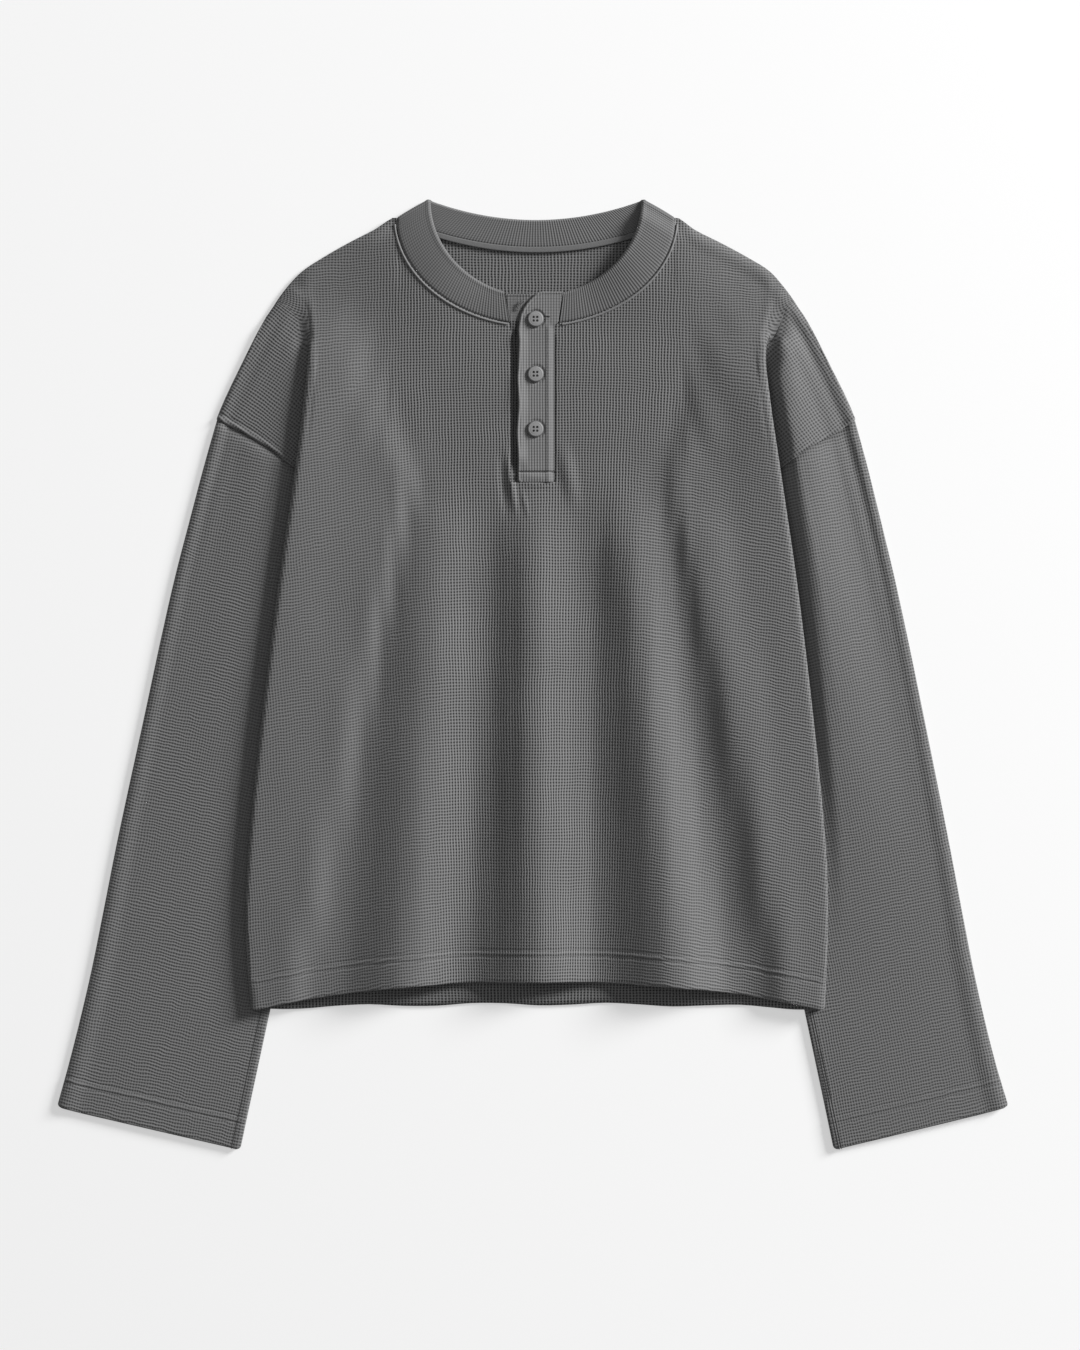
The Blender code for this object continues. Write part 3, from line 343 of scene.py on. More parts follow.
def over_stack(side, x, y):
    """How far a point lies out over the tuck above the underarm, or over the sleeve below."""
    tuck_x = body_edge_x(side, y) - side.sign * read(TUCK, y, "depth")
    inner_x = tuck_x if y > UNDERARM_Y else sleeve_inner_x(side, y)
    return side.sign * (x - inner_x)


def back_z(x, y):
    """The back lies on the surface and climbs over the two sleeves below the underarms."""
    over = over_stack(side_of(x), x, y)
    below_underarm = ease((UNDERARM_Y - y) / RAMP_START)
    return layer(0) + 2 * PLY * ease((over + RAMP_FOOT) / RAMP_WIDTH) * below_underarm


def through(upper, middle, lower, down):
    """A smooth line through three values, with the middle one halfway down."""
    return (
        upper * (1 - down) * (1 - 2 * down)
        + middle * 4 * down * (1 - down)
        + lower * down * (2 * down - 1)
    )


def fold_z(x, y):
    """Rise of the folds, from the nearest valley and crest on each side of x."""
    if y >= FOLD_TOP_Y:
        return 0.0
    down = (FOLD_UPPER_Y - y) / (FOLD_UPPER_Y - FOLD_HEM_Y)
    places = [through(line.upper_x, line.middle_x, line.hem_x, down) for line in FOLD_LINES]
    rises = [through(line.upper_rise, line.middle_rise, line.hem_rise, down) for line in FOLD_LINES]
    k = min(max(bisect_right(places, x) - 1, 0), len(places) - 2)
    share = ease((x - places[k]) / (places[k + 1] - places[k]))
    return mix(rises[k], rises[k + 1], share) * ease((FOLD_TOP_Y - y) / FOLD_REACH)


def torso_z(x, y):
    """Middle of the front's wall between the body's two side edges."""
    side = side_of(x)
    closed = read(TUCK, y, "closed")
    over = over_stack(side, x, y)
    stack = 2 * PLY * closed * ease((over + FRONT_RAMP_FOOT) / RAMP_WIDTH)
    from_edge = side.sign * (body_edge_x(side, y) - x)
    middle = 1 - math.exp(-((from_edge / EDGE_SOFTNESS) ** 2))
    down = (TOP_Y - y) / (TOP_Y - FRONT_HEM_Y)
    loft = TORSO_LOFT + HEM_LOFT * ease(down)
    rest_z = layer(0) + CLEAR + stack + (loft + fold_z(x, y)) * middle
    edge_z = layer(0) + CLEAR + 2 * PLY * closed
    return rest_z + (read(TUCK, y, "edge_z") - edge_z) * (1 - middle)


def covered_x(side, y):
    """The body covers the cap and sleeve as far out as this. The sleeve is free below the hem."""
    hem_y = BODY_EDGE[-1].y
    edge = body_edge_x(side, max(y, hem_y)) + side.sign * PRESSED
    return mix(edge, sleeve_inner_x(side, y), ease((hem_y - FREED - y) / FREED_REACH))


def open_share(side, plan):
    """How far along a line in from the outline the body starts to cover it."""
    low, high = 0.0, MOST_OPEN
    for _ in range(14):
        middle = (low + high) / 2
        point = plan(middle)
        if side.sign * (point.x - covered_x(side, point.y)) > 0:
            low = middle
        else:
            high = middle
    return high


def outer_layer_z(side, x, y):
    """Middle of the top wall of the shoulder cap and sleeve, outside the body's edge.

    It swells to a crest beside the body's edge and falls from there to the outline.
    """
    closed = read(TUCK, y, "closed")
    start = covered_x(side, y) + side.sign * (SLOPE_REACH - PRESSED) * (1 - ease(closed))
    out = side.sign * (x - start)
    wide = max(side.sign * (outline_x(side, y) - start), 1.0)
    share = min(max(out / wide, 0.0), 1.0)
    crest = side.sleeve_crest * ease(CREST_CLOSING * closed) * ease((y - CREST_END_Y) / CREST_REACH)
    fall = ease((share - CREST_FALL[0]) / (CREST_FALL[1] - CREST_FALL[0]))
    swell = crest * ease(out / CREST_RISE) * (1 - fall)
    return layer(1) + swell + side.sleeve_loft * math.sin(math.pi * share)


# Neckline


def seam_front(angle, side, extra=0.0):
    """The front neck seam, from the shoulder at angle 0 to the middle at a right angle."""
    x = CENTRE_X + side.sign * (SEAM_HALF + extra) * math.cos(angle)
    return Vector((x, SEAM_Y - (SEAM_FRONT_DROP + extra) * math.sin(angle), 0.0))


def free_front(angle, side):
    x = CENTRE_X + side.sign * FREE_HALF * math.cos(angle)
    return Vector((x, FREE_Y - FREE_FRONT_DROP * math.sin(angle), 0.0))


def seam_back(share):
    """The back neck seam, from the right shoulder at -1 to the left one at 1."""
    drop = SEAM_BACK_DROP * (1 - share * share)
    return Vector((CENTRE_X + SEAM_HALF * share, SEAM_Y - drop, 0.0))


def free_back(share):
    drop = FREE_BACK_DROP * (1 - share * share)
    return Vector((CENTRE_X + FREE_HALF * share, FREE_Y - drop, 0.0))


# Front and back panels

Column = namedtuple("Column", "side top hem_x share")


def front_hem_y(x):
    return FRONT_HEM_Y - FRONT_HEM_DIP * (abs(x - HEM_CENTRE_X) / HEM_HALF) ** HEM_POWER


def back_hem_y(x):
    sag = BACK_HEM_DIP * ((x - HEM_CENTRE_X) / HEM_HALF) ** 2
    wave = HEM_WAVE * math.cos(2 * math.pi * (x - HEM_WAVE_X) / HEM_WAVE_LENGTH)
    return BACK_HEM_Y - sag + wave


def shoulder_top(side, share, inset):
    """A point on the shoulder line, from the tuck at 0 to the neck at 1."""
    y = mix(TOP_Y, OUTLINE[0].y, share)
    return Vector((outline_x(side, y) - side.sign * inset, y - inset / 2, 0.0))


def half_columns(side, tops, hem_inner_x, hem_outer_x):
    """Columns from the side edge to the middle, spaced evenly along the hem."""
    count = len(tops) - 1
    columns = []
    for k, top in enumerate(tops):
        share = 1 - k / count
        columns.append(Column(side, top, mix(hem_inner_x, hem_outer_x, share), share))
    return columns


def front_columns(side):
    edge = Vector((roll_line(side, TOP_Y), TOP_Y, 0.0))
    shoulder = [shoulder_top(side, k / SHOULDER_COLUMNS, 0.0) for k in range(1, SHOULDER_COLUMNS)]
    angles = [side.seam_end * k / NECK_COLUMNS for k in range(NECK_COLUMNS)]
    neck = [seam_front(angle, side, PANEL_EASE) for angle in angles]
    last = Vector((side.notch_top_x, seam_front(side.seam_end, side, PANEL_EASE).y, 0.0))
    hem_x = roll_line(side, BODY_EDGE[-1].y)
    return half_columns(side, [edge, *shoulder, *neck, last], side.sign * NOTCH_HALF, hem_x)


def panel_point(column, row, edge_line, hem_y, fade):
    """Where a column crosses a row, in plan. The edge's bends fade out towards the middle."""
    share = mix(row.middle, row.side, column.share)
    y = mix(column.top.y, hem_y(column.hem_x), share)
    bottom_y = BODY_EDGE[-1].y
    edge_y = y if column.share == 1.0 else mix(TOP_Y, bottom_y, row.side)
    straight_edge = mix(edge_line(column.side, TOP_Y), edge_line(column.side, bottom_y), share)
    bend = edge_line(column.side, edge_y) - straight_edge
    return Vector((mix(column.top.x, column.hem_x, share) + column.share**fade * bend, y, 0.0))


def roll_radius(y):
    if read(TUCK, y, "closed") > 0.5:
        return (read(TUCK, y, "edge_z") - layer(2)) / 2
    return OPEN_ROLL


def roll_line(side, y):
    """Where the flat of the front ends and its side roll starts."""
    return body_edge_x(side, y) - side.sign * roll_radius(y)


def tuck_line(side, y):
    """Inner end of the tuck, or the side seam below the underarm."""
    return body_edge_x(side, y) - side.sign * read(TUCK, y, "depth")


def top_height(column, middle_z):
    """Height of the front's upper edge: down on the back at the shoulder, up at the neck."""
    if column.share == 0.0:
        return middle_z
    from_centre = abs(column.top.x - CENTRE_X) / (SEAM_HALF + PANEL_EASE)
    if from_centre > 1.001:
        return ROLLED_Z
    return mix(NECK_CORNER_Z, middle_z, ease(math.acos(min(from_centre, 1.0)) / CORNER_RISE))


def front_torso_point(column, i):
    point = panel_point(column, ROWS[i], roll_line, front_hem_y, 5)
    full_z = torso_z(point.x, point.y)
    shoulder = abs(column.top.x - CENTRE_X) > SEAM_HALF
    if i == 0:
        point.z = top_height(column, NECK_SEAM_Z)
        point.x = outline_x(column.side, point.y) if column.share == 1.0 else point.x
    elif column.share == 1.0:
        point.z = read(TUCK, point.y, "edge_z") if i > 1 else layer(1)
    else:
        start_z = layer(1) if shoulder else max(top_height(column, NECK_SEAM_Z), layer(1))
        point.z = mix(start_z, full_z, ease((ROWS[i].middle - ROWS[1].middle) / TOP_RISE))
    return point


def notch_points(i):
    """Points of a row between the placket's two cut edges."""
    top_y = seam_front(RIGHT.seam_end, RIGHT, PANEL_EASE).y
    y = mix(top_y, front_hem_y(0.0), ROWS[i].middle) if i > ARM_ROW else PLACKET_END_Y - GAP
    points = []
    for k in range(1, PLACKET_COLUMNS):
        x = mix(-NOTCH_HALF, NOTCH_HALF, k / PLACKET_COLUMNS)
        points.append(Vector((x, y, torso_z(x, y))) if i >= ARM_ROW else None)
    return points


def square_notch(column, i, point):
    """The two columns beside the placket run straight down from the neck seam's end."""
    if column.share == 0.0 and i > 0:
        point.x = column.hem_x
    if column.share == 0.0 and i == ARM_ROW:
        point.y = PLACKET_END_Y - GAP
    return point


def sunk_depth(side_y):
    """Depth of the tuck on a row that leaves the body's edge at side_y and sinks as it goes in."""
    depth = 0.0
    for _ in range(6):
        depth = read(TUCK, side_y - sag(depth), "depth")
    return depth


def sag(distance):
    return TUCK_SAG * (distance / TUCK_SAG_DEPTH) ** 2


def arc(centre_out, centre_z, radius_out, radius_z, degrees):
    angle = math.radians(degrees)
    return centre_out + radius_out * math.cos(angle), centre_z + radius_z * math.sin(angle)


def tuck_profile(y):
    """The roll, the tuck and its inner fold, as distances out from the edge and heights."""
    closed = ease(read(TUCK, y, "closed"))
    top_z = read(TUCK, y, "edge_z")
    radius = roll_radius(y)
    depth = max(sunk_depth(y), radius + 2)
    inner = PLY / 2
    high = (top_z + layer(2)) / 2
    low = (layer(1) + layer(2)) / 2
    folded = [arc(-radius, high, radius, top_z - high, degrees) for degrees in (45, 0, -45, -90)]
    folded[0] = (-radius * (1 - ROLL_SQUARE), mix(high, top_z, ROLL_SQUARE))
    folded.append((-(radius + depth) / 2, layer(2)))
    folded.append((inner - depth, layer(2)))
    folded += [arc(inner - depth, low, -inner, inner, degrees) for degrees in (30, -30, -90)]
    points = []
    for k, (out, z) in enumerate(folded):
        share = (k + 1) / len(folded)
        slope_out = mix(-radius, SLOPE_REACH, share)
        slope_z = mix(top_z, layer(1), ease(share))
        points.append((mix(slope_out, out, closed), mix(slope_z, z, closed)))
    return points


def side_y(i):
    return mix(TOP_Y, front_hem_y(body_edge_x(LEFT, BODY_EDGE[-1].y)), ROWS[i].side)


def tuck_points(side, i):
    """The front's points past its side edge: the roll, the tuck and, above the seam, its fold."""
    y = side_y(i)
    slope = SHOULDER_SLOPE * (1 - ease(read(TUCK, y, "closed")))
    start = roll_radius(y)
    points = []
    for out, z in tuck_profile(y):
        sunk_y = y - sag(min(out, 0.0))
        x = body_edge_x(side, sunk_y) + side.sign * out
        points.append(Vector((x, sunk_y - slope * (out + start), z)))
    if i == 0:
        points = [Vector((outline_x(side, point.y), point.y, ROLLED_Z)) for point in points]
    if i > ARM_ROW:
        points[SEAM_POINTS:] = [None] * (len(points) - SEAM_POINTS)
    return points


def cap_point(side, down, along, inner, inset):
    """A point of the shoulder cap in plan, between the tuck's inner fold and the outline."""
    outer_y = mix(OUTLINE[5].y, ARMHOLE[0].y, down)
    outer = Vector((outline_x(side, outer_y) - side.sign * inset, outer_y, 0.0))
    seam = seam_point(ARMHOLE, side, along)
    seam_chord = mix(seam_point(ARMHOLE, side, 0.0), seam_point(ARMHOLE, side, 1.0), along)
    return mix(outer, inner, along) + (seam - seam_chord) * down


def cap_points(side, i, inner):
    """The front's cap along a row, from the tuck out to the outline, where it turns down."""
    if i > ARM_ROW:
        return [None] * (len(CAP_COVERED) + len(CAP_OPEN))
    inner = Vector((inner.x, inner.y, 0.0))
    opening = open_share(side, lambda along: cap_point(side, i / ARM_ROW, along, inner, 0.0))
    alongs = [mix(opening, 1.0, share) for share in reversed(CAP_COVERED)]
    points = []
    for along in alongs + [opening * share for share in reversed(CAP_OPEN)]:
        point = cap_point(side, i / ARM_ROW, along, inner, 0.0)
        point.z = outer_layer_z(side, point.x, point.y)
        if along == 0.0 or i == 0:
            point.z = ROLLED_Z
        points.append(point)
    return points


def front_side(side, i):
    tuck = tuck_points(side, i)
    return tuck + cap_points(side, i, tuck[-1])


def seam_line(side, y):
    """The back's own edge: the side seam, or the tuck's inner end above the underarm."""
    return tuck_line(side, y) - side.sign * GAP


def ramp_line(side, y, distance):
    """A line that runs inside the sleeve's inner edge, where the back climbs over it."""
    seam = side.sign * seam_line(side, y) - distance
    sleeve = side.sign * sleeve_inner_x(side, y) - distance
    return side.sign * (seam if y > UNDERARM_Y else min(seam, sleeve))


def ramp_top_line(side, y):
    return ramp_line(side, y, RAMP_FOOT - RAMP_WIDTH - 1)


def ramp_foot_line(side, y):
    return ramp_line(side, y, RAMP_FOOT)


BACK_LINES = ((seam_line, 0.0), (ramp_top_line, 7.0), (ramp_foot_line, 18.0))


def back_columns(side):
    """The back's columns from its side edge to the middle, each with the line that it follows."""
    columns = []
    for line, up in BACK_LINES:
        top = Vector((line(side, TOP_Y), TOP_Y + up - BACK_INSET / 2, 0.0))
        columns.append((Column(side, top, line(side, BODY_EDGE[-1].y), 1.0), line))
    start = (TOP_Y + BACK_LINES[-1][1] - OUTLINE[0].y) / (TOP_Y - OUTLINE[0].y)
    shares = [mix(1 - start, 1, k / BACK_SHOULDER_COLUMNS) for k in range(1, BACK_SHOULDER_COLUMNS)]
    shoulder = [shoulder_top(side, share, BACK_INSET) for share in shares]
    half = BACK_NECK_COLUMNS // 2
    ease_down = Vector((0, PANEL_EASE, 0))
    neck = [seam_back(side.sign * (1 - k / half)) - ease_down for k in range(half + 1)]
    foot = columns[-1][0]
    inner = half_columns(side, [foot.top, *shoulder, *neck], HEM_CENTRE_X, foot.hem_x)
    return columns + [(column, ramp_foot_line) for column in inner[1:]]


def back_cap(side, i, inner):
    points = []
    for along in BACK_CAP_ALONG:
        if i > BACK_ARM_ROW:
            points.append(None)
            continue
        point = cap_point(side, i / BACK_ARM_ROW, along, inner, BACK_INSET)
        point.z = layer(0)
        points.append(point)
    return points


# Sleeves


def sleeve_plan(side, along, down):
    """A point across and along the flattened sleeve, kept inside its two rolled edges."""
    reach = SLEEVE_TOP_REACH
    drop = Vector((side.sign * SLEEVE_LEAN, -1.0, 0.0)).normalized() * SLEEVE_DROP
    top = seam_point(ARMHOLE, side, along * reach) + drop
    point = mix(top, seam_point(CUFF, side, along), down)
    outer_top = seam_point(ARMHOLE, side, 0.0) + drop
    outer_y = mix(outer_top.y, CUFF[0].y, down)
    straight = mix(outer_top, seam_point(CUFF, side, 0.0), down)
    bow = Vector((outline_x(side, outer_y), outer_y, 0.0)) - straight
    across = seam_point(CUFF, side, 0.0) - seam_point(CUFF, side, 1.0)
    inset = (WALL / 2 + PLY / 2) * (1 - 2 * along)
    return point + bow * (1 - along) - across.normalized() * inset


def sleeve_ring(side, down):
    """One ring of the sleeve: its top wall, the inner roll, its under wall, the outer roll."""
    radius = PLY / 2
    across = (seam_point(CUFF, side, 0.0) - seam_point(CUFF, side, 1.0)).normalized()
    opening = open_share(side, lambda along: sleeve_plan(side, along, down))
    alongs = [opening * share for share in SLEEVE_OPEN]
    ring = []
    for along in alongs + [mix(opening, 1.0, share) for share in SLEEVE_COVERED]:
        point = sleeve_plan(side, along, down)
        point.z = outer_layer_z(side, point.x, point.y)
        ring.append(point)
    for along, out, backwards in ((1.0, -1, False), (0.0, 1, True)):
        centre = sleeve_plan(side, along, down)
        degrees = (-30, 30) if backwards else (30, -30)
        roll = []
        for angle in map(math.radians, degrees):
            point = centre + across * (out * radius * math.cos(angle))
            point.z = (layer(0) + layer(1)) / 2 + radius * math.sin(angle)
            roll.append(point)
        ring += roll
        if not backwards:
            under = [sleeve_plan(side, share, down) for share in SLEEVE_BACK_ALONG]
            ring += [point + Vector((0, 0, layer(0))) for point in under]
    return ring if side is RIGHT else ring[::-1]


# Neck band and placket


def neck_lift(angle):
    """How far the front of the neck stands off the back between a shoulder and the placket."""
    degrees = math.degrees(angle)
    fall = ease((degrees - NECK_LIFT_FALL[0]) / (NECK_LIFT_FALL[1] - NECK_LIFT_FALL[0]))
    return NECK_LIFT * ease(degrees / NECK_LIFT_FULL) * (1 - fall)


def band_front_pair(side, share):
    """Seam and free edge of the band's front half, from the shoulder at 0 to the placket at 1."""
    rise = ease(share * side.seam_end / CORNER_RISE)
    over_back = BAND_WALL * 1.5 + GAP
    seam = seam_front(side.seam_end * share, side)
    seam.z = mix(over_back, NECK_SEAM_Z + BAND_LIFT, rise)
    free = free_front(side.free_end * share, side)
    free.z = mix(over_back, NECK_SEAM_Z + BAND_FREE_LIFT, rise)
    lift = neck_lift(side.seam_end * share)
    seam.z += lift
    free.z += FREE_LIFT[side.name] * lift
    return seam, free


def band_fold_pair(side, degrees):
    """Seam and free edge where the band folds over from the front to the back."""
    seam = seam_back(side.sign)
    free = free_back(side.sign)
    along = (free - seam).normalized()
    out = Vector((-along.y, along.x, 0.0)) * -side.sign
    radius = (BAND_WALL + GAP) / 2
    angle = math.radians(degrees)
    step = out * (radius * math.cos(angle) - FOLD_INSET)
    step.z = BAND_WALL / 2 + radius * (1 + math.sin(angle))
    return seam + step, free + step + out * PEAK_OUT * math.cos(angle)


def band_back_pair(share):
    rest = Vector((0, 0, BAND_WALL / 2))
    return seam_back(share) + rest, free_back(share) + rest


# The two placket strips: where their left and right edges are at each height
Cut = namedtuple("Cut", "y left right")
TOP_STRIP = [
    Cut(306.4, 8.0, 24.4),
    Cut(305.6, 4.4, 24.3),
    Cut(303.0, 1.2, 23.9),
    Cut(299.0, -3.0, 23.2),
    Cut(294.6, -6.2, 22.5),
    Cut(290.0, -8.6, 21.8),
    Cut(285.0, -10.3, 21.0),
    Cut(281.8, -10.8, 20.4),
    Cut(279.4, -11.0, 17.8),
    Cut(276.0, -11.2, 17.55),
    Cut(265.0, -11.0, 17.55),
    Cut(246.0, -11.6, 17.55),
    Cut(238.0, -12.4, 17.55),
    Cut(216.0, -11.2, 17.55),
    Cut(194.0, -12.8, 17.55),
    Cut(176.0, -11.6, 17.55),
    Cut(157.0, -11.6, 17.5),
    Cut(155.2, -11.4, 17.3),
    Cut(154.15, -10.8, 16.8),
]
UNDER_STRIP = [
    Cut(304.6, -21.5, UNDER_END_X),
    Cut(283.0, -18.2, UNDER_END_X),
    Cut(280.0, -17.6, UNDER_END_X),
    Cut(276.0, -17.6, UNDER_END_X),
    Cut(268.0, -19.0, UNDER_END_X),
    Cut(152.6, -19.0, UNDER_END_X),
]
UPPER_STRIP_EDGE = np.array([(cut.y, cut.left) for cut in reversed(TOP_STRIP)]).T


def placket_z(x, y):
    """The front's height carried on up between the band's two ends."""
    level = ease((y - PLACKET_NECK_Y) / PLACKET_NECK_REACH)
    return mix(torso_z(x, min(y, PLACKET_NECK_Y)), NECK_SEAM_Z + BAND_LIFT, level)


# Fine grids


def refine(points, at):
    """Points at fractional places along the second axis, on a smooth curve through each row."""
    legs = np.diff(points, axis=1)
    steps = np.linalg.norm(legs, axis=2, keepdims=True) + 1e-6
    slopes = legs / steps
    before, after = steps[:, :-1], steps[:, 1:]
    inner = (slopes[:, :-1] * after + slopes[:, 1:] * before) / (before + after)
    tangents = np.concatenate([slopes[:, :1], inner, slopes[:, -1:]], axis=1)
    i = np.minimum(at.astype(int), points.shape[1] - 2)
    t = (at - i)[None, :, None]
    h = steps[:, i]
    return (
        points[:, i] * (2 * t**3 - 3 * t**2 + 1)
        + points[:, i + 1] * (3 * t**2 - 2 * t**3)
        + h * tangents[:, i] * (t**3 - 2 * t**2 + t)
        + h * tangents[:, i + 1] * (t**3 - t**2)
    )


def places(counts):
    """Fractional places that cut each step of a coarse grid into so many."""
    at = [i + k / count for i, count in enumerate(counts) for k in range(count)]
    return np.array(at + [float(len(counts))])


def fine_grid(coarse, row_places, column_places):
    """The fine points, and which of the fine cells lie where the coarse grid has all its corners."""
    rows = len(coarse)
    columns = len(coarse[0])
    known = np.array([[point is not None for point in row] for row in coarse])
    filled = np.array([fill_row(row) for row in coarse], float)
    cells = known[:-1, :-1] & known[1:, :-1] & known[:-1, 1:] & known[1:, 1:]
    fine = refine(filled, column_places)
    fine = refine(fine.transpose(1, 0, 2), row_places).transpose(1, 0, 2)
    row_cell = np.minimum(((row_places[:-1] + row_places[1:]) / 2).astype(int), rows - 2)
    column_cell = np.minimum(((column_places[:-1] + column_places[1:]) / 2).astype(int), columns - 2)
    return fine, cells[np.ix_(row_cell, column_cell)]


def fill_row(row):
    """A row with its missing points carried on in a line, or bridged between two known ones."""
    known = [k for k, point in enumerate(row) if point is not None]
    filled = []
    for k, point in enumerate(row):
        if point is not None:
            filled.append(tuple(point))
            continue
        below = [j for j in known if j < k]
        above = [j for j in known if j > k]
        if below and above:
            share = (k - below[-1]) / (above[0] - below[-1])
            filled.append(tuple(mix(row[below[-1]], row[above[0]], share)))
        else:
            near, next_in = (below[-1], below[-2]) if below else (above[0], above[1])
            step = (row[near] - row[next_in]).normalized() * 2.0
            filled.append(tuple(row[near] + step * abs(k - near)))
    return filled


def distance_along(points, axis, backwards=False):
    """Arc length of each point from one end of its row or column."""
    legs = np.linalg.norm(np.diff(points, axis=axis), axis=2)
    total = np.cumsum(np.flip(legs, axis) if backwards else legs, axis=axis)
    zero = np.zeros_like(np.take(total, [0], axis=axis))
    total = np.concatenate([zero, total], axis=axis)
    return np.flip(total, axis) if backwards else total


def smoothstep(x):
    x = np.clip(x, 0.0, 1.0)
    return x * x * (3 - 2 * x)


def hump(x, centre, half_width):
    """One soft ridge, 1 at its centre and 0 past half_width."""
    return np.cos(np.clip(np.abs(x - centre) / half_width, 0, 1) * math.pi / 2) ** 2


# Making pieces


def cloth(name, fine, cells, knit, crisp, material, node, closed=False):
    """A walled sheet from a fine grid, with its knit coordinates, standing for a solid."""
    fine[..., 2] = np.maximum(fine[..., 2], WALL / 2)
    rows, columns = fine.shape[:2]
    number = np.arange(rows * columns).reshape(rows, columns)
    if closed:
        number = np.concatenate([number, number[:, :1]], axis=1)
        knit = np.concatenate([knit, knit[:, -1:] * 2 - knit[:, -2:-1]], axis=1)
    wide = number.shape[1]
    quads = np.stack([number[:-1, :-1], number[1:, :-1], number[1:, 1:], number[:-1, 1:]], axis=-1)
    corner = np.arange(rows * wide).reshape(rows, wide)
    uv_quads = np.stack([corner[:-1, :-1], corner[1:, :-1], corner[1:, 1:], corner[:-1, 1:]], axis=-1)
    keep = cells if cells is not None else np.ones(quads.shape[:2], bool)
    quads = quads[keep]
    uv_quads = uv_quads[keep]
    used = np.unique(quads)
    renumber = np.full(rows * columns, -1)
    renumber[used] = np.arange(len(used))
    mesh = bpy.data.meshes.new(name)
    vertices = fine.reshape(-1, 3)[used] * MM
    mesh.from_pydata(vertices.tolist(), [], renumber[quads].tolist())
    uv = mesh.uv_layers.new(name="knit")
    uv.data.foreach_set("uv", knit.reshape(-1, 2)[uv_quads.reshape(-1)].astype(np.float32).ravel())
    obj = show(name, mesh, material, node)
    solid = obj.modifiers.new("wall", "SOLIDIFY")
    solid.thickness = WALL * MM
    solid.offset = 0.0
    solid.use_even_offset = False
    mesh.shade_smooth()
    if crisp is not None:
        set_crisp(obj, crisp.reshape(-1)[used])
    return obj


def added(name, data):
    """A new object in the scene."""
    obj = bpy.data.objects.new(name, data)
    bpy.context.scene.collection.objects.link(obj)
    return obj


def show(name, mesh, material, *nodes):
    """A finished piece that stands for some solids, or for none. Stitches come with their thread."""
    if not mesh.materials:
        mesh.materials.append(material)
    obj = added(name, mesh)
    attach(obj, "root")
    if nodes:
        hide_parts(*nodes)
    return obj


def declare_sheet(obj, flat):
    """The cut's area is that of one face of the cloth, whether its wall is still to come or not."""
    faces = 1 if obj.modifiers else 2
    area = sum(polygon.area for polygon in obj.data.polygons) / faces
    area = min(area, flat[0] * flat[1])


# Materials


class Shader:
    """A material's node tree, with short calls for the nodes that the knits are made of."""

    def __init__(self, name, slot):
        self.material = bpy.data.materials.new(name)
        self.material.use_nodes = True
        self.nodes = self.material.node_tree.nodes
        self.links = self.material.node_tree.links
        self.surface = self.nodes["Principled BSDF"]

    def node(self, kind, *inputs, out=0, **settings):
        made = self.nodes.new(kind)
        for key, value in settings.items():
            setattr(made, key, value)
        for k, value in enumerate(inputs):
            self.put(made.inputs[k], value)
        return made.outputs[out]

    def put(self, socket, value):
        if isinstance(value, bpy.types.NodeSocket):
            self.links.new(value, socket)
        else:
            socket.default_value = value

    def math(self, operation, *inputs):
        return self.node("ShaderNodeMath", *inputs, operation=operation)

    def noise(self, vector, scale, detail=2.0, out=0):
        made = self.nodes.new("ShaderNodeTexNoise")
        self.put(made.inputs["Vector"], vector)
        made.inputs["Scale"].default_value = scale
        made.inputs["Detail"].default_value = detail
        return made.outputs[out]

    def between(self, value, low, high, to_low, to_high):
        made = self.nodes.new("ShaderNodeMapRange")
        for k, given in enumerate((value, low, high, to_low, to_high)):
            self.put(made.inputs[k], given)
        return made.outputs[0]

    def mixed(self, share, at_none, at_all):
        return self.between(share, 0.0, 1.0, at_none, at_all)

    def vector(self, operation, *inputs):
        return self.node("ShaderNodeVectorMath", *inputs, operation=operation)

    def scaled(self, vector, factor):
        made = self.vector("SCALE", vector)
        self.put(made.node.inputs["Scale"], factor)
        return made

    def tint(self, colour, level):
        """Gives the surface a colour, made lighter or darker by a level."""
        self.put(self.surface.inputs["Base Color"], self.scaled(colour, level))


def wave(shader, place):
    """From 0 in a knit's groove to 1 on its rib, once for each cell."""
    angle = shader.math("MULTIPLY", place, 2 * math.pi)
    return shader.math("MULTIPLY_ADD", shader.math("COSINE", angle), 0.5, 0.5)


def knit_place(shader, waver, waver_scale):
    """The cloth's own coordinates in cells, a little uneven as hand-laid knit is."""
    place = shader.node("ShaderNodeUVMap", uv_map="knit")
    off = wandering(shader, place, waver_scale, (waver, waver, 0.0))
    return shader.vector("ADD", place, off), place


def wandering(shader, place, scale, reach):
    soft = shader.noise(place, scale, 1.0, out=1)
    return shader.vector("MULTIPLY", shader.vector("SUBTRACT", soft, (0.5, 0.5, 0.5)), reach)


COOL_GREY = (1.0, 1.0, 1.005)
# Greys of the hollows, in painted shade, and of the ribs where the grid is soft
SOFT_GREYS = (0.098, 0.188)
YARN_SCALE = 3.1           # the yarn's own unevenness, for each cell


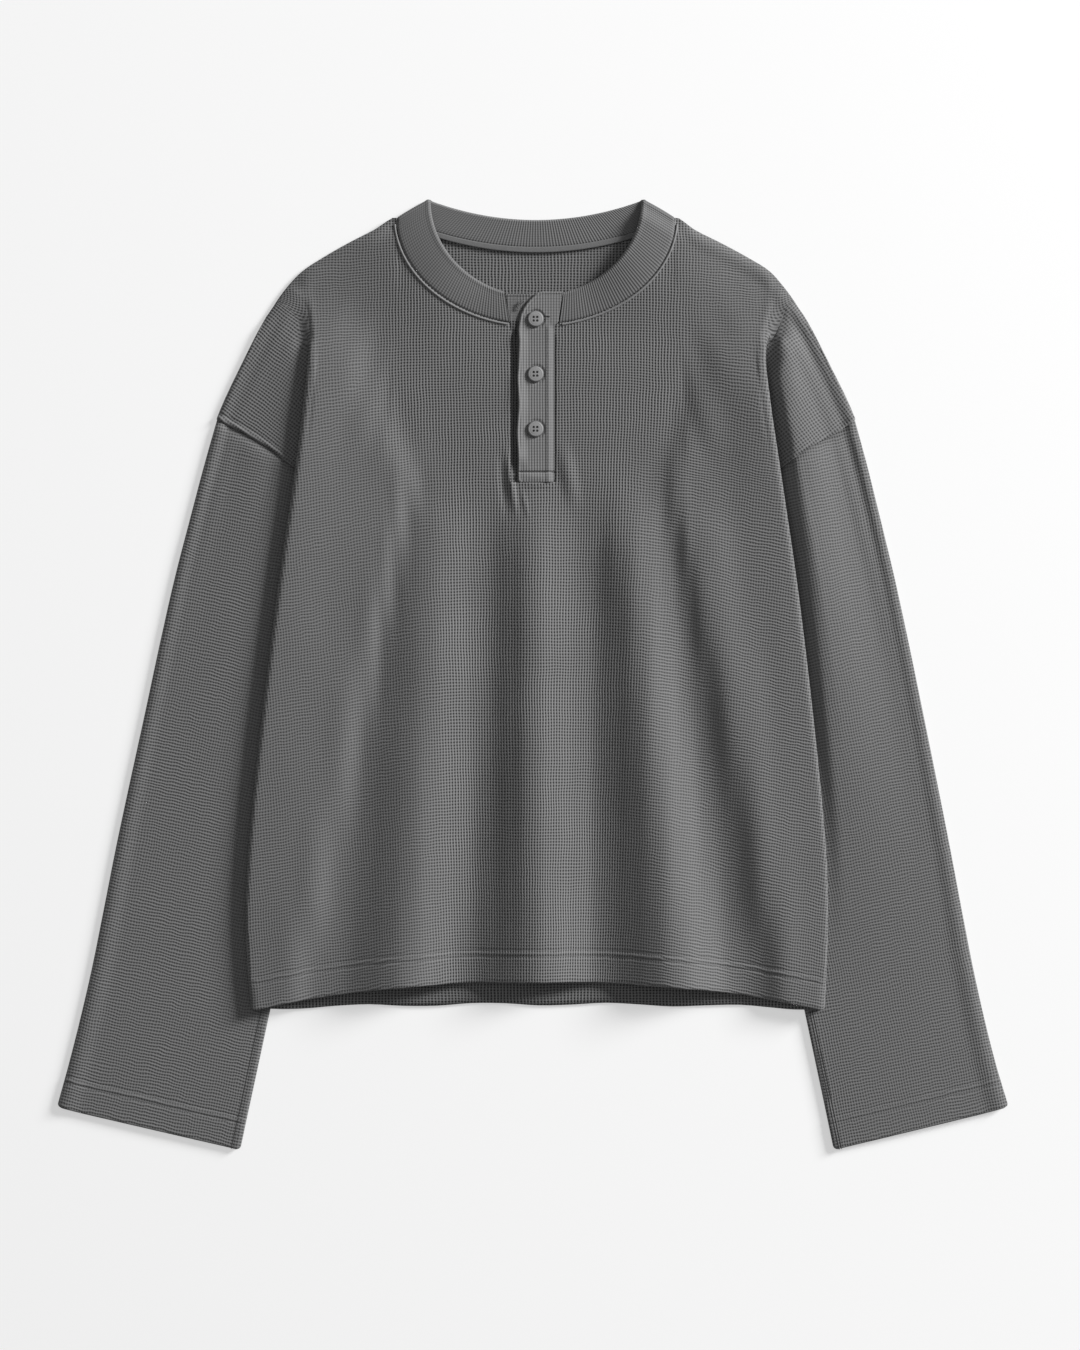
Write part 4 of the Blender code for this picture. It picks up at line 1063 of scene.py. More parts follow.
def waffle(name, slot, greys=(0.024, 0.212), waver=1.1):
    """Waffle knit: raised ribs both ways, with painted shade darkening the hollow of each cell.

    Where the attribute "crisp" is 1 the grid is open and clear, and "greys" are those of its hollows
    and ribs. Where it is 0 the columns close up and wavy rows show, in the soft greys.
    """
    shader = Shader(name, slot)
    clear = shader.node("ShaderNodeAttribute", out=2, attribute_name="crisp")
    uneven, place = knit_place(shader, waver, 0.06)
    ripple = wandering(shader, place, 0.22, (0.9, 1.1, 0.0))
    ripple = shader.scaled(ripple, shader.mixed(clear, 1.0, 0.35))
    split = shader.nodes.new("ShaderNodeSeparateXYZ")
    shader.put(split.inputs[0], shader.vector("ADD", uneven, ripple))
    patches = shader.noise(place, 0.05, 1.0)
    across = wave(shader, split.outputs[0])
    down = wave(shader, split.outputs[1])
    column_share = shader.math("MULTIPLY", shader.mixed(clear, 0.42, 1.0),
                               shader.between(patches, 0.35, 0.65, 0.75, 1.0))
    row_share = shader.math("MULTIPLY", shader.mixed(clear, 0.95, 0.68),
                            shader.between(patches, 0.35, 0.65, 1.0, 0.8))
    open_column = shader.math("SUBTRACT", 1.0, shader.math("MULTIPLY", across, column_share))
    open_row = shader.math("SUBTRACT", 1.0, shader.math("MULTIPLY", down, row_share))
    height = shader.math("SUBTRACT", 1.0, shader.math("MULTIPLY", open_column, open_row))
    yarn = shader.noise(place, YARN_SCALE)
    lift = shader.math("ADD", height, shader.between(yarn, 0.3, 0.7, -0.1, 0.1))
    # The hollows' grey is painted shade: the cells' depth is only a bump, which casts none.
    hollow_shade = shader.mixed(clear, SOFT_GREYS[0], greys[0])
    rib = shader.mixed(clear, SOFT_GREYS[1], greys[1])
    shader.tint(COOL_GREY, shader.between(lift, 0.12, 0.95, hollow_shade, rib))
    finish_cloth(shader, height, 0.0006)
    return shader.material


def set_crisp(obj, values):
    """How clear the knit's grid is at each vertex of a piece."""
    attribute = obj.data.attributes.new("crisp", "FLOAT", "POINT")
    attribute.data.foreach_set("value", np.asarray(values, np.float32).ravel())


def ribbed(name, slot, groove_shade, light, cross=0.25):
    """Rib knit: the ribs are in the mesh, with fine stitches across them and painted shade in the
    grooves.
    """
    shader = Shader(name, slot)
    uneven, place = knit_place(shader, 0.35, 0.08)
    split = shader.nodes.new("ShaderNodeSeparateXYZ")
    shader.put(split.inputs[0], uneven)
    across = wave(shader, split.outputs[0])
    down = wave(shader, split.outputs[1])
    height = shader.math("MULTIPLY_ADD", down, cross, shader.math("MULTIPLY", across, 1.0 - cross))
    yarn = shader.noise(place, YARN_SCALE)
    lift = shader.math("ADD", height, shader.between(yarn, 0.3, 0.7, -0.06, 0.06))
    # The grooves' grey is painted shade, the ribs' grey is the lit yarn.
    colour = shader.nodes.new("ShaderNodeValToRGB")
    colour.color_ramp.elements[0].color = (*groove_shade, 1.0)
    colour.color_ramp.elements[1].color = (*light, 1.0)
    shader.put(colour.inputs[0], lift)
    shader.put(shader.surface.inputs["Base Color"], colour.outputs[0])
    finish_cloth(shader, height, 0.0003)
    return shader.material


def finish_cloth(shader, height, depth):
    bump = shader.nodes.new("ShaderNodeBump")
    bump.inputs["Strength"].default_value = 0.8
    bump.inputs["Distance"].default_value = depth
    shader.put(bump.inputs["Height"], height)
    shader.put(shader.surface.inputs["Normal"], bump.outputs[0])
    shader.surface.inputs["Roughness"].default_value = 0.95
    shader.surface.inputs["Specular IOR Level"].default_value = 0.12
    shader.surface.inputs["Sheen Weight"].default_value = 0.12
    shader.surface.inputs["Sheen Roughness"].default_value = 0.5


def smooth_cloth(name, slot, colour, grain=0.08):
    """Smooth tape or thread."""
    shader = Shader(name, slot)
    place = shader.node("ShaderNodeTexCoord", out=3)
    yarn = shader.noise(place, 1800.0)
    shader.tint(colour, shader.between(yarn, 0.3, 0.7, 1 - grain, 1 + grain))
    finish_cloth(shader, yarn, 0.0001)
    return shader.material


def plastic(name, slot, colour):
    """Faintly clouded satin plastic, with painted shade darkening it where the attribute "rim" is 1.
    """
    shader = Shader(name, slot)
    place = shader.node("ShaderNodeTexCoord", out=3)
    cloud = shader.noise(place, 260.0, 3.0)
    rim = shader.node("ShaderNodeAttribute", out=2, attribute_name="rim")
    clouded = shader.between(cloud, 0.3, 0.7, 0.94, 1.06)
    shader.tint(colour, shader.math("MULTIPLY", clouded, shader.mixed(rim, 1.0, 0.4)))
    shader.surface.inputs["Roughness"].default_value = 0.5
    shader.surface.inputs["Specular IOR Level"].default_value = 0.25
    return shader.material


def grey(level):
    return tuple(level * part for part in COOL_GREY)


FRONT_KNIT = waffle("front waffle", "front_waffle")
# The back's copy of the waffle is darker: painted shade for where it shows inside the neck.
SHADED_BACK_KNIT = waffle("shaded back waffle", "back_waffle", (0.012, 0.2), 0.6)
SLEEVE_KNITS = {
    "right": waffle("right sleeve waffle", "right_sleeve_waffle"),
    "left": waffle("left sleeve waffle", "left_sleeve_waffle"),
}
BAND_RIB = ribbed("band rib", "band_rib", grey(0.104), grey(0.166))
STRIP_RIB = ribbed("placket rib", "placket_rib", grey(0.14), grey(0.205), 0.45)
# Darker than the front's waffle: painted shade where the upper strip's edge lies over the under strip.
SHADED_UNDER_KNIT = waffle("shaded under placket waffle", "under_placket_rib", (0.014, 0.14))
UNDER_RIB = ribbed("under placket rib", "under_placket_rib", grey(0.1), grey(0.175), 0.4)
SEAM_RIB = smooth_cloth("neck seam rib", "band_rib", grey(0.2), 0.1)
TAPE = smooth_cloth("neck tape cotton", "tape_cotton", grey(0.145), 0.14)
THREAD = smooth_cloth("sewing thread", "front_waffle", grey(0.12))
# Near-black thread: painted shade of the underarm seams' groove.
SEAM_SHADE_THREAD = smooth_cloth("sleeve seam thread in painted shade", "front_waffle", grey(0.035))
BUTTON = plastic("button plastic", "button_plastic", grey(0.25))

# Knit coordinates, in cells


def turned(x, y, degrees):
    angle = math.radians(degrees)
    return x * math.cos(angle) + y * math.sin(angle), y * math.cos(angle) - x * math.sin(angle)


COLUMN_PITCH = 2.42
ROW_PITCH = 2.5
SLEEVE_COLUMN_PITCH = 2.15
BACK_COLUMN_PITCH = 2.65
BACK_ROW_PITCH = 2.25
CLOSE_Y = 230.0            # from here down the body's columns close up,
CLOSE_RIGHT = 3.0e-4       # by this share for each millimetre on the wearer's right
CLOSE_LEFT = 4.5e-4
DROOP_SLOPE = 0.21         # the rows come to slope by this,
DROOP_START = 32.0         # from this far off the middle on
DROOP_REACH = 104.0        # and over this width,
DROOP_UPPER = 0.25         # but by this share of it at the shoulders,
DROOP_UPPER_Y = 290.0      # above here,
DROOP_GROWTH = 120.0       # and by all of it this far below
CHEST_Y = 165.0            # above here the rows are closer
CHEST_CLOSER = 0.12        # by this share
CAP_TURN = 36.0
CAP_TURN_Y = 294.0         # the cap's grain is turned about the body's edge at this height
SLEEVE_TURN = 10.5


def body_knit(x, y):
    """The rows droop towards the sides as the hem does, and the columns close up downwards."""
    off = x - CENTRE_X
    down = np.clip(CLOSE_Y - y, 0.0, None)
    close = np.where(off > 0, CLOSE_LEFT, CLOSE_RIGHT) * down
    s = np.clip((np.abs(off) - DROOP_START) / DROOP_REACH, 0, None)
    droop = DROOP_SLOPE * DROOP_REACH * np.where(s < 1, s**3 - s**4 / 2, s - 0.5)
    grown = smoothstep((DROOP_UPPER_Y - y) / DROOP_GROWTH)
    sunk = y + droop * (DROOP_UPPER + (1 - DROOP_UPPER) * grown)
    closer = sunk + CHEST_CLOSER * np.clip(sunk - CHEST_Y, 0, None)
    return off * (1 + close) / COLUMN_PITCH, closer / ROW_PITCH


def cap_knit(side, x, y):
    """The cap's grain is turned to run along the sleeve, and meets the body's at the tuck's start."""
    pivot_x = body_edge_x(side, CAP_TURN_Y)
    u, v = turned(x - pivot_x, y - CAP_TURN_Y, side.sign * CAP_TURN)
    at_pivot = body_knit(np.array([pivot_x]), np.array([CAP_TURN_Y]))
    return u / COLUMN_PITCH + at_pivot[0][0], v / ROW_PITCH + at_pivot[1][0]


def sleeve_knit(side, x, y):
    """The columns run down the sleeve, and the rows run along the cuff's edge."""
    cuff = seam_point(CUFF, side, 0.0)
    run = seam_point(CUFF, side, 1.0) - cuff
    along = math.atan2(run.y, run.x * -side.sign)
    u = turned(x, y, side.sign * SLEEVE_TURN)[0]
    v = (y - cuff.y) * math.cos(along) + (x - cuff.x) * side.sign * math.sin(along)
    return u / SLEEVE_COLUMN_PITCH, v / ROW_PITCH


# Creases and seams in the cloth


HEM_ROWS = (20.6, 25.4)    # the twin rows of stitches, from the edge
HEM_RAISED = 0.45          # the hem's double cloth stands this high,
HEM_DRAWN = 0.65           # each row of stitches draws it down by this,
HEM_DRAWN_HALF = 1.5       # over this width each way,
HEM_ROLLED = 0.5           # and it rolls down by this over EDGE_ROLLED at its edge
EDGE_ROLLED = 1.6

# Soft ridges and valleys that run beside an edge: how far in each lies, how wide it is each way and
# how high. These are beside a sleeve's outer edge and along a cap's seam edge
Ridge = namedtuple("Ridge", "place half_width height")
OUTLINE_RIDGES = (Ridge(17.0, 6.5, 0.9), Ridge(9.5, 5.0, -0.8), Ridge(4.0, 3.0, 0.5))
OUTLINE_RIDGE_SHARE = {"right": 0.25, "left": 0.7}
CAP_EDGE_RIDGES = (Ridge(1.6, 2.2, 1.0), Ridge(5.2, 1.8, -0.4))
OUTLINE_LEAN = 0.92        # a distance along x, times this, is the distance square to the outline

# The grain's clearness, from 0 to 1
BODY_CRISP = 0.12          # at the least. It is 1 on the chest and down the middle
CHEST_CRISP_Y = 130.0      # the chest starts here,
CHEST_CRISP_RISE = 90.0    # clears over this height
CHEST_CRISP_HALF = 95.0    # and is this wide each way,
CHEST_CRISP_FADE = 60.0    # with sides that fade over this
MIDDLE_CRISP_HALF = 62.0
MIDDLE_CRISP_FADE = 40.0
CAP_CRISP = 0.4
SLEEVE_CRISP = 0.12
SLEEVE_EDGE_CRISP = 0.35   # more of it beside the sleeve's two edges
BACK_CRISP = 0.9

# How far the tuck is closed at each height, from the hem up
TUCK_CLOSED = np.array([(row.y, row.closed) for row in reversed(TUCK)]).T
CAP_COLUMNS = len(CAP_COVERED) + len(CAP_OPEN)
SLEEVE_UNDER_CAP = 2.4     # the sleeve's top end reaches this far under the cap's rolled edge,
UNDER_CAP_REACH = 3.0      # where it is drawn up over this length
UNDER_CAP_SINK = 1.25      # and pressed down by this
GATHER_RISE = 0.45         # how high the sleeve's gathers stand, which fade out
GATHER_REACH = 75.0        # over this length below the armhole seam
FOLLOW_FROM = 0.45         # the columns beside the roll follow the front from this far closed on,
FOLLOW_REACH = 0.3         # all the way after this much more
UNFOLDED_TO = 0.35         # the tuck's start is evened out where it is no further closed than this,
UNFOLDED_REACH = 0.2       # less over this much more,
VALLEY_COLUMNS = 12        # and over this many columns past the body's edge
CORNER_RADIUS = 3.0        # of the front hem's and the cuffs' corners,
CORNER_REACH = 30.0        # which start to bend this far from the end


def hem_relief(from_edge):
    """The hem's double cloth stands a little high, and each row of stitches draws it down."""
    raised = HEM_RAISED * smoothstep((HEM_ROWS[1] + 1.5 - from_edge) / 2.5)
    drawn = sum(hump(from_edge, row, HEM_DRAWN_HALF) for row in HEM_ROWS)
    rolled = HEM_ROLLED * smoothstep((EDGE_ROLLED - from_edge) / EDGE_ROLLED)
    return raised - HEM_DRAWN * drawn - rolled


# Soft ridges and valleys along straight lines in plan
Crease = namedtuple("Crease", "start_x start_y end_x end_y half_width height")
CREASES = [
    Crease(-20.4, 182.0, -13.2, 126.0, 3.6, 2.0),
    Crease(-26.4, 180.0, -20.4, 124.0, 4.2, -1.2),
    Crease(-9.0, 150.0, -3.0, 124.0, 3.0, 0.7),
    Crease(24.0, 186.0, 34.0, 132.0, 9.0, 1.9),
    Crease(-12.0, 151.5, 20.0, 151.5, 3.2, 0.9),
]


def crease_relief(x, y):
    """Rise of the creases, each of which fades at its two ends."""
    total = np.zeros_like(x)
    for crease in CREASES:
        dx = crease.end_x - crease.start_x
        dy = crease.end_y - crease.start_y
        length = math.hypot(dx, dy)
        along = ((x - crease.start_x) * dx + (y - crease.start_y) * dy) / length**2
        off = ((x - crease.start_x) * dy - (y - crease.start_y) * dx) / length
        total += crease.height * hump(along, 0.5, 0.62) * hump(off, 0.0, crease.half_width)
    return total


def torso_relief(x, y):
    """The creases, and the soft unevenness of cloth smoothed out by hand."""
    uneven = np.sin(x / 17.0 + 1.7 * np.sin(y / 53.0)) * np.sin(y / 41.0 + 0.6)
    return crease_relief(x, y) + 0.35 * uneven


# The pieces


def make_front():
    right = front_columns(RIGHT)
    left = front_columns(LEFT)[::-1]
    coarse = []
    for i in range(len(ROWS)):
        row = front_side(RIGHT, i)[::-1]
        row += [square_notch(column, i, front_torso_point(column, i)) for column in right]
        row += notch_points(i)
        row += [square_notch(column, i, front_torso_point(column, i)) for column in left]
        row += front_side(LEFT, i)
        coarse.append(row)
    side_columns = len(front_side(RIGHT, 0))
    # Each coarse cell is cut into so many, more of them where the cloth bends closely
    row_counts = [4, 8] + [7] * (len(ROWS) - 4) + [44]
    row_counts[ARM_ROW - 1:ARM_ROW + 2] = [18] * 3
    row_places = places(row_counts)
    counts = [3] * (CAP_COLUMNS - 1) + [2] * (side_columns - CAP_COLUMNS + 1)
    counts += [4] * (len(right) - 3) + [9] * 2
    column_places = places(counts + [12] * PLACKET_COLUMNS + counts[::-1])
    fine, cells = fine_grid(coarse, row_places, column_places)
    first = side_columns
    last = len(coarse[0]) - side_columns - 1
    past_edge = ((RIGHT, first - column_places), (LEFT, column_places - last))
    torso = (column_places >= first) & (column_places <= last)
    x, y = fine[..., 0], fine[..., 1]
    closed = np.interp(y, *TUCK_CLOSED)
    for _, past in past_edge:
        follow_torso(fine, (past > -1) & (past < 0), closed)
    for _, past in past_edge:
        even_tuck_start(fine, past, closed)
    from_hem = distance_along(fine, 0, backwards=True)
    inside = smoothstep((column_places - first) / 3) * smoothstep((last - column_places) / 3)
    fine[..., 2] += torso[None, :] * (hem_relief(from_hem) + inside[None, :] * torso_relief(x, y))
    for side in SIDES:
        beside_neck = torso[None, :] * (side.sign * (x - CENTRE_X) > 0)
        fine[..., 2] += beside_neck * panel_neck_lift(side, x, y)
    knit = np.stack(body_knit(x, y), axis=-1)
    folded = smoothstep((closed - 0.4) / 0.5)
    for side, past in past_edge:
        cap = np.stack(cap_knit(side, x, y), axis=-1)
        turn = mix(smoothstep(past[None, :] / 15), (past > 4)[None, :].astype(float), folded)
        knit += turn[..., None] * (cap - knit)
    for side, past in past_edge:
        where = past > side_columns - CAP_COLUMNS + 1
        part = fine[:, where]
        seam_edge = ridge_relief(CAP_EDGE_RIDGES, from_row(part, row_places, ARM_ROW))
        faded_in = OUTLINE_RIDGE_SHARE[side.name] * smoothstep((past[where] - 11) / 3.5)
        beside_outline = ridge_relief(OUTLINE_RIDGES, from_outline(side, part))
        part[..., 2] += seam_edge + faded_in[None, :] * beside_outline
        fine[:, where] = part
    panel = (column_places >= first - SEAM_POINTS) & (column_places <= last + SEAM_POINTS)
    fine[:, panel] = with_round_corners(fine[:, panel], from_hem[:, panel], (1.0, 0.0))
    crisp = np.where(torso[None, :], body_crisp(x, y), CAP_CRISP)
    front_cloth = cloth("front_cloth", fine, cells, knit, crisp, FRONT_KNIT, "front")
    return front_cloth, fine, np.flatnonzero(torso)


def follow_torso(fine, columns, closed):
    """Puts the columns beside the roll at the front's own height, where the tuck is closed."""
    for row, column in zip(*np.nonzero(columns[None, :] & (closed > FOLLOW_FROM))):
        x, y, z = fine[row, column]
        share = smoothstep((closed[row, column] - FOLLOW_FROM) / FOLLOW_REACH)
        fine[row, column, 2] = mix(z, torso_z(x, y), share)


def even_tuck_start(fine, past, closed):
    """Evens out the valley where a shoulder's tuck starts, as it isn't folded there yet."""
    unfolded = 1 - smoothstep((closed - UNFOLDED_TO) / UNFOLDED_REACH)
    valley = smoothstep((past + 1) / 2) * (1 - smoothstep((past - VALLEY_COLUMNS) / 2.5))
    level = evened(evened(fine[..., 2]))
    fine[..., 2] += unfolded * valley[None, :] * (level - fine[..., 2])


def panel_neck_lift(side, x, y):
    """How far the front panel stands off the back: as the neck does, and less further from it."""
    out_x = side.sign * (x - CENTRE_X) / (SEAM_HALF + PANEL_EASE)
    out_y = (SEAM_Y - y) / (SEAM_FRONT_DROP + PANEL_EASE)
    angle = np.arctan2(np.clip(out_y, 0, None), np.clip(out_x, 1e-6, None))
    away = np.clip(np.hypot(out_x, out_y) - 1, 0, None) * SEAM_FRONT_DROP
    return np.vectorize(neck_lift)(angle) * (1 - smoothstep(away / NECK_LIFT_REACH))


def body_crisp(x, y):
    """The grid is clear on the chest and down the middle, where the cloth is stretched flat."""
    off = np.abs(x - CENTRE_X)
    chest = smoothstep((y - CHEST_CRISP_Y) / CHEST_CRISP_RISE)
    chest = chest * (1 - smoothstep((off - CHEST_CRISP_HALF) / CHEST_CRISP_FADE))
    middle = 1 - smoothstep((off - MIDDLE_CRISP_HALF) / MIDDLE_CRISP_FADE)
    return np.clip(BODY_CRISP + (1 - BODY_CRISP) * np.maximum(chest, middle), 0, 1)


def evened(z, reach=6):
    """Heights evened out along each row, over so many points each way."""
    padded = np.pad(z, ((0, 0), (reach, reach)), mode="edge")
    return sum(padded[:, k:k + z.shape[1]] for k in range(2 * reach + 1)) / (2 * reach + 1)


def with_round_corners(fine, from_end, across):
    """A sheet whose last rows bend up towards its two sides, so that its corners are round."""
    place = fine[..., 0] * across[0] + fine[..., 1] * across[1]
    first = place.min(axis=1, keepdims=True)
    last = place.max(axis=1, keepdims=True)
    near = np.clip(1 - np.minimum(place - first, last - place) / CORNER_RADIUS, 0, 1)
    back = CORNER_RADIUS * (1 - np.sqrt(1 - near**2)) * (1 - smoothstep(from_end / CORNER_REACH))
    fine = fine.copy()
    up = np.sign(across[0])
    fine[..., 0] -= back * across[1] * up
    fine[..., 1] += back * across[0] * up
    return fine


def from_outline(side, fine):
    """Distance of each point in from the outline."""
    ys = [edge.y for edge in reversed(OUTLINE)]
    xs = [getattr(edge, side.x_column) for edge in reversed(OUTLINE)]
    return side.sign * (np.interp(fine[..., 1], ys, xs) - fine[..., 0]) * OUTLINE_LEAN


def ridge_relief(ridges, inside):
    """Rise of some ridges and valleys that run side by side."""
    total = 0.0
    for ridge in ridges:
        total = total + ridge.height * hump(inside, ridge.place, ridge.half_width)
    return total


def from_row(fine, row_places, row):
    """Distance of each point above a coarse row, along its column. Points below the row are at 0."""
    at = int(np.argmin(np.abs(row_places - row)))
    lengths = distance_along(fine, 0)
    return np.clip(lengths[at] - lengths, 0, None)


def make_back():
    right = back_columns(RIGHT)
    left = back_columns(LEFT)[-2::-1]
    coarse = []
    for i, row in enumerate(BACK_ROWS):
        points = []
        for column, line in right + left:
            point = panel_point(column, row, line, back_hem_y, 1)
            point.z = back_z(point.x, point.y)
            points.append(point)
        flat = [Vector((end.x, end.y, 0.0)) for end in (points[0], points[-1])]
        coarse.append(back_cap(RIGHT, i, flat[0])[::-1] + points + back_cap(LEFT, i, flat[1]))
    row_places = places([4] * (len(BACK_ROWS) - 2) + [12])
    column_places = places([3] * (len(coarse[0]) - 1))
    fine, cells = fine_grid(coarse, row_places, column_places)
    x, y = fine[..., 0], fine[..., 1]
    knit = np.stack(((x - CENTRE_X) / BACK_COLUMN_PITCH, y / BACK_ROW_PITCH), axis=-1)
    crisp = np.full_like(x, BACK_CRISP)
    return cloth("back_cloth", fine, cells, knit, crisp, SHADED_BACK_KNIT, "back")


Sleeve = namedtuple("Sleeve", "piece grid from_inner")


def make_sleeve(side):
    rings = [[tuple(point) for point in sleeve_ring(side, down)] for down in SLEEVE_ROWS]
    points = np.array(rings, float)
    wide = points.shape[1]
    wrapped = np.concatenate([points[:, -2:], points, points[:, :3]], axis=1)
    around = places([6] * wide)[:-1] + 2
    fine = refine(wrapped, around)
    row_places = places([5] + [7] * (len(SLEEVE_ROWS) - 3) + [40])
    fine = refine(fine.transpose(1, 0, 2), row_places).transpose(1, 0, 2)
    top = fine[..., 2] > layer(1) - 0.4
    from_cuff = distance_along(fine, 0, backwards=True)
    from_seam = distance_along(fine, 0)
    line = seam_point(CUFF, side, 0.0) - seam_point(CUFF, side, 1.0)
    across = tuple((line * side.sign / line.length).xy)
    fine = with_round_corners(fine, from_cuff, across)
    place = (fine[..., 0] * across[0] + fine[..., 1] * across[1]) * side.sign
    from_outer = place.max(axis=1, keepdims=True) - place
    from_inner = place - place.min(axis=1, keepdims=True)
    gathers = GATHER_RISE * np.sin(from_outer / 4.4 + 1.4 * np.sin(from_outer / 12.0 + 0.4))
    gathers *= smoothstep(from_outer / 12)
    gathers *= smoothstep(from_seam / 6) * (1 - smoothstep(from_seam / GATHER_REACH))
    ridges = OUTLINE_RIDGE_SHARE[side.name] * ridge_relief(OUTLINE_RIDGES, from_outer)
    ridges = ridges * smoothstep(from_seam / 6) * (1 - smoothstep(from_seam / 190))
    raised = smoothstep((fine[..., 2] - layer(0)) / PLY)
    under_cap = raised * np.clip(1 - from_seam / UNDER_CAP_REACH, 0, 1)
    pressed = UNDER_CAP_SINK * raised * hump(from_seam, 0.0, UNDER_CAP_REACH)
    fine[..., 0] -= SLEEVE_UNDER_CAP * under_cap * across[1] * np.sign(across[0])
    fine[..., 1] += SLEEVE_UNDER_CAP * under_cap * abs(across[0])
    fine[..., 2] += top * (hem_relief(from_cuff) + gathers + ridges) - pressed
    knit = np.stack(sleeve_knit(side, fine[..., 0], fine[..., 1]), axis=-1)
    beside_outer = 1 - smoothstep((from_outer - 8) / 18)
    beside_inner = 1 - smoothstep((from_inner - 14) / 26)
    beside = np.maximum(beside_outer, beside_inner)
    crisp = SLEEVE_CRISP + SLEEVE_EDGE_CRISP * OUTLINE_RIDGE_SHARE[side.name] * beside
    obj = cloth(f"{side.name}_sleeve_cloth", fine, None, knit, crisp, SLEEVE_KNITS[side.name],
                f"sleeve_{side.name}", closed=True)
    return Sleeve(obj, fine, from_inner)


RIB_SAMPLES = 6
BAND_STEPS = 60            # along each half of the band's front
BAND_BACK_STEPS = 87
FOLD_DEGREES = (50, 10, -30, -65)
SEAM_END_LEAN = (0.44, 0.9)     # the way in from a shoulder seam's end, across and down
SEAM_END_REACH = 7.0       # the inset there fades over this length


def band_stations():
    """Seam and free edges round the band, from the placket over the right shoulder and back to it."""
    front = [band_front_pair(RIGHT, 1 - k / BAND_STEPS) for k in range(BAND_STEPS + 1)]
    fold = [band_fold_pair(RIGHT, degrees) for degrees in FOLD_DEGREES]
    back_half = [band_back_pair(-1 + 2 * k / BAND_BACK_STEPS) for k in range(BAND_BACK_STEPS + 1)]
    unfold = [band_fold_pair(LEFT, degrees) for degrees in reversed(FOLD_DEGREES)]
    other = [band_front_pair(LEFT, k / BAND_STEPS) for k in range(BAND_STEPS + 1)]
    return front + fold + back_half + unfold + other


def resample(points, count):
    """Points at even distances along a line of pairs, by the pairs' middles."""
    middles = points.mean(axis=1)
    along = np.concatenate([[0.0], np.cumsum(np.linalg.norm(np.diff(middles, axis=0), axis=1))])
    at = np.linspace(0.0, along[-1], count)
    made = np.empty((count, 2, 3))
    for pair in range(2):
        for axis in range(3):
            made[:, pair, axis] = np.interp(at, along, points[:, pair, axis])
    return made, at


def smooth_line(line, reach):
    """A line of even points with its corners rounded over so many points each way."""
    padded = np.pad(line, ((reach, reach), (0, 0)), mode="edge")
    return np.stack([padded[k:k + len(line)] for k in range(2 * reach + 1)]).mean(axis=0)


# Across the band, from its seam to its free edge: share of its width, and how high its skin stands
# over a flat one
BAND_PROFILE = [
    (0.0, -0.54), (0.05, -0.1), (0.12, 0.0), (0.3, 0.18), (0.5, 0.24), (0.7, 0.16),
    (0.82, 0.04), (0.89, -0.04), (0.945, 0.2), (0.985, 0.02), (1.0, -0.5),
]
BAND_ROW_PITCH = 1.9
FREE_EDGE_ROUND = 0.85     # the free edge bulges by this share of half the wall


def make_band():
    pairs = np.array([[tuple(seam), tuple(free)] for seam, free in band_stations()], float)
    length = np.linalg.norm(np.diff(pairs.mean(axis=1), axis=0), axis=1).sum()
    ribs = round(length / BAND_RIB_PITCH)
    even, at = resample(pairs, ribs * RIB_SAMPLES + 1)
    seam, free = even[:, 0], smooth_line(even[:, 1], 6)
    for side in SIDES:
        corner = np.array(seam_back(side.sign))
        inwards = np.array((-side.sign * SEAM_END_LEAN[0], -SEAM_END_LEAN[1], 0.0))
        near = np.exp(-((np.hypot(*(seam - corner)[:, :2].T) / SEAM_END_REACH) ** 2))
        seam += near[:, None] * inwards * SEAM_END_INSET
    across = free - seam
    across /= np.linalg.norm(across, axis=1, keepdims=True)
    ahead = np.gradient((seam + free) / 2, axis=0)
    ahead /= np.linalg.norm(ahead, axis=1, keepdims=True)
    up = np.cross(across, ahead)
    up /= np.linalg.norm(up, axis=1, keepdims=True)
    up *= np.sign(up[0, 2])
    rib = 0.5 + 0.5 * np.cos(2 * math.pi * at / BAND_RIB_PITCH)
    half = BAND_WALL / 2
    loop = [(share, half + over) for share, over in BAND_PROFILE]
    loop.append((1.0, 0.0))
    loop += [(share, -half - min(over, 0.0)) for share, over in reversed(BAND_PROFILE)]
    loop.append((0.0, 0.0))
    fine = np.empty((len(at), len(loop), 3))
    knit = np.empty((len(at), len(loop), 2))
    wide = np.linalg.norm(free - seam, axis=1)
    for k, (share, height) in enumerate(loop):
        base = seam + (free - seam) * share
        if (share, height) == (1.0, 0.0):
            base = base + half * FREE_EDGE_ROUND * across
        relief = BAND_RIB_RISE * (rib - 0.5) * np.sign(height)
        fine[:, k] = base + up * (height + relief)[:, None]
        knit[:, k, 0] = at / BAND_RIB_PITCH
        knit[:, k, 1] = wide * share / BAND_ROW_PITCH
    fine[..., 2] = np.maximum(fine[..., 2], 0.0)
    mesh = tube_mesh("neck_band_cloth", fine, knit)
    return show("neck_band_cloth", mesh, BAND_RIB, "neck_band")


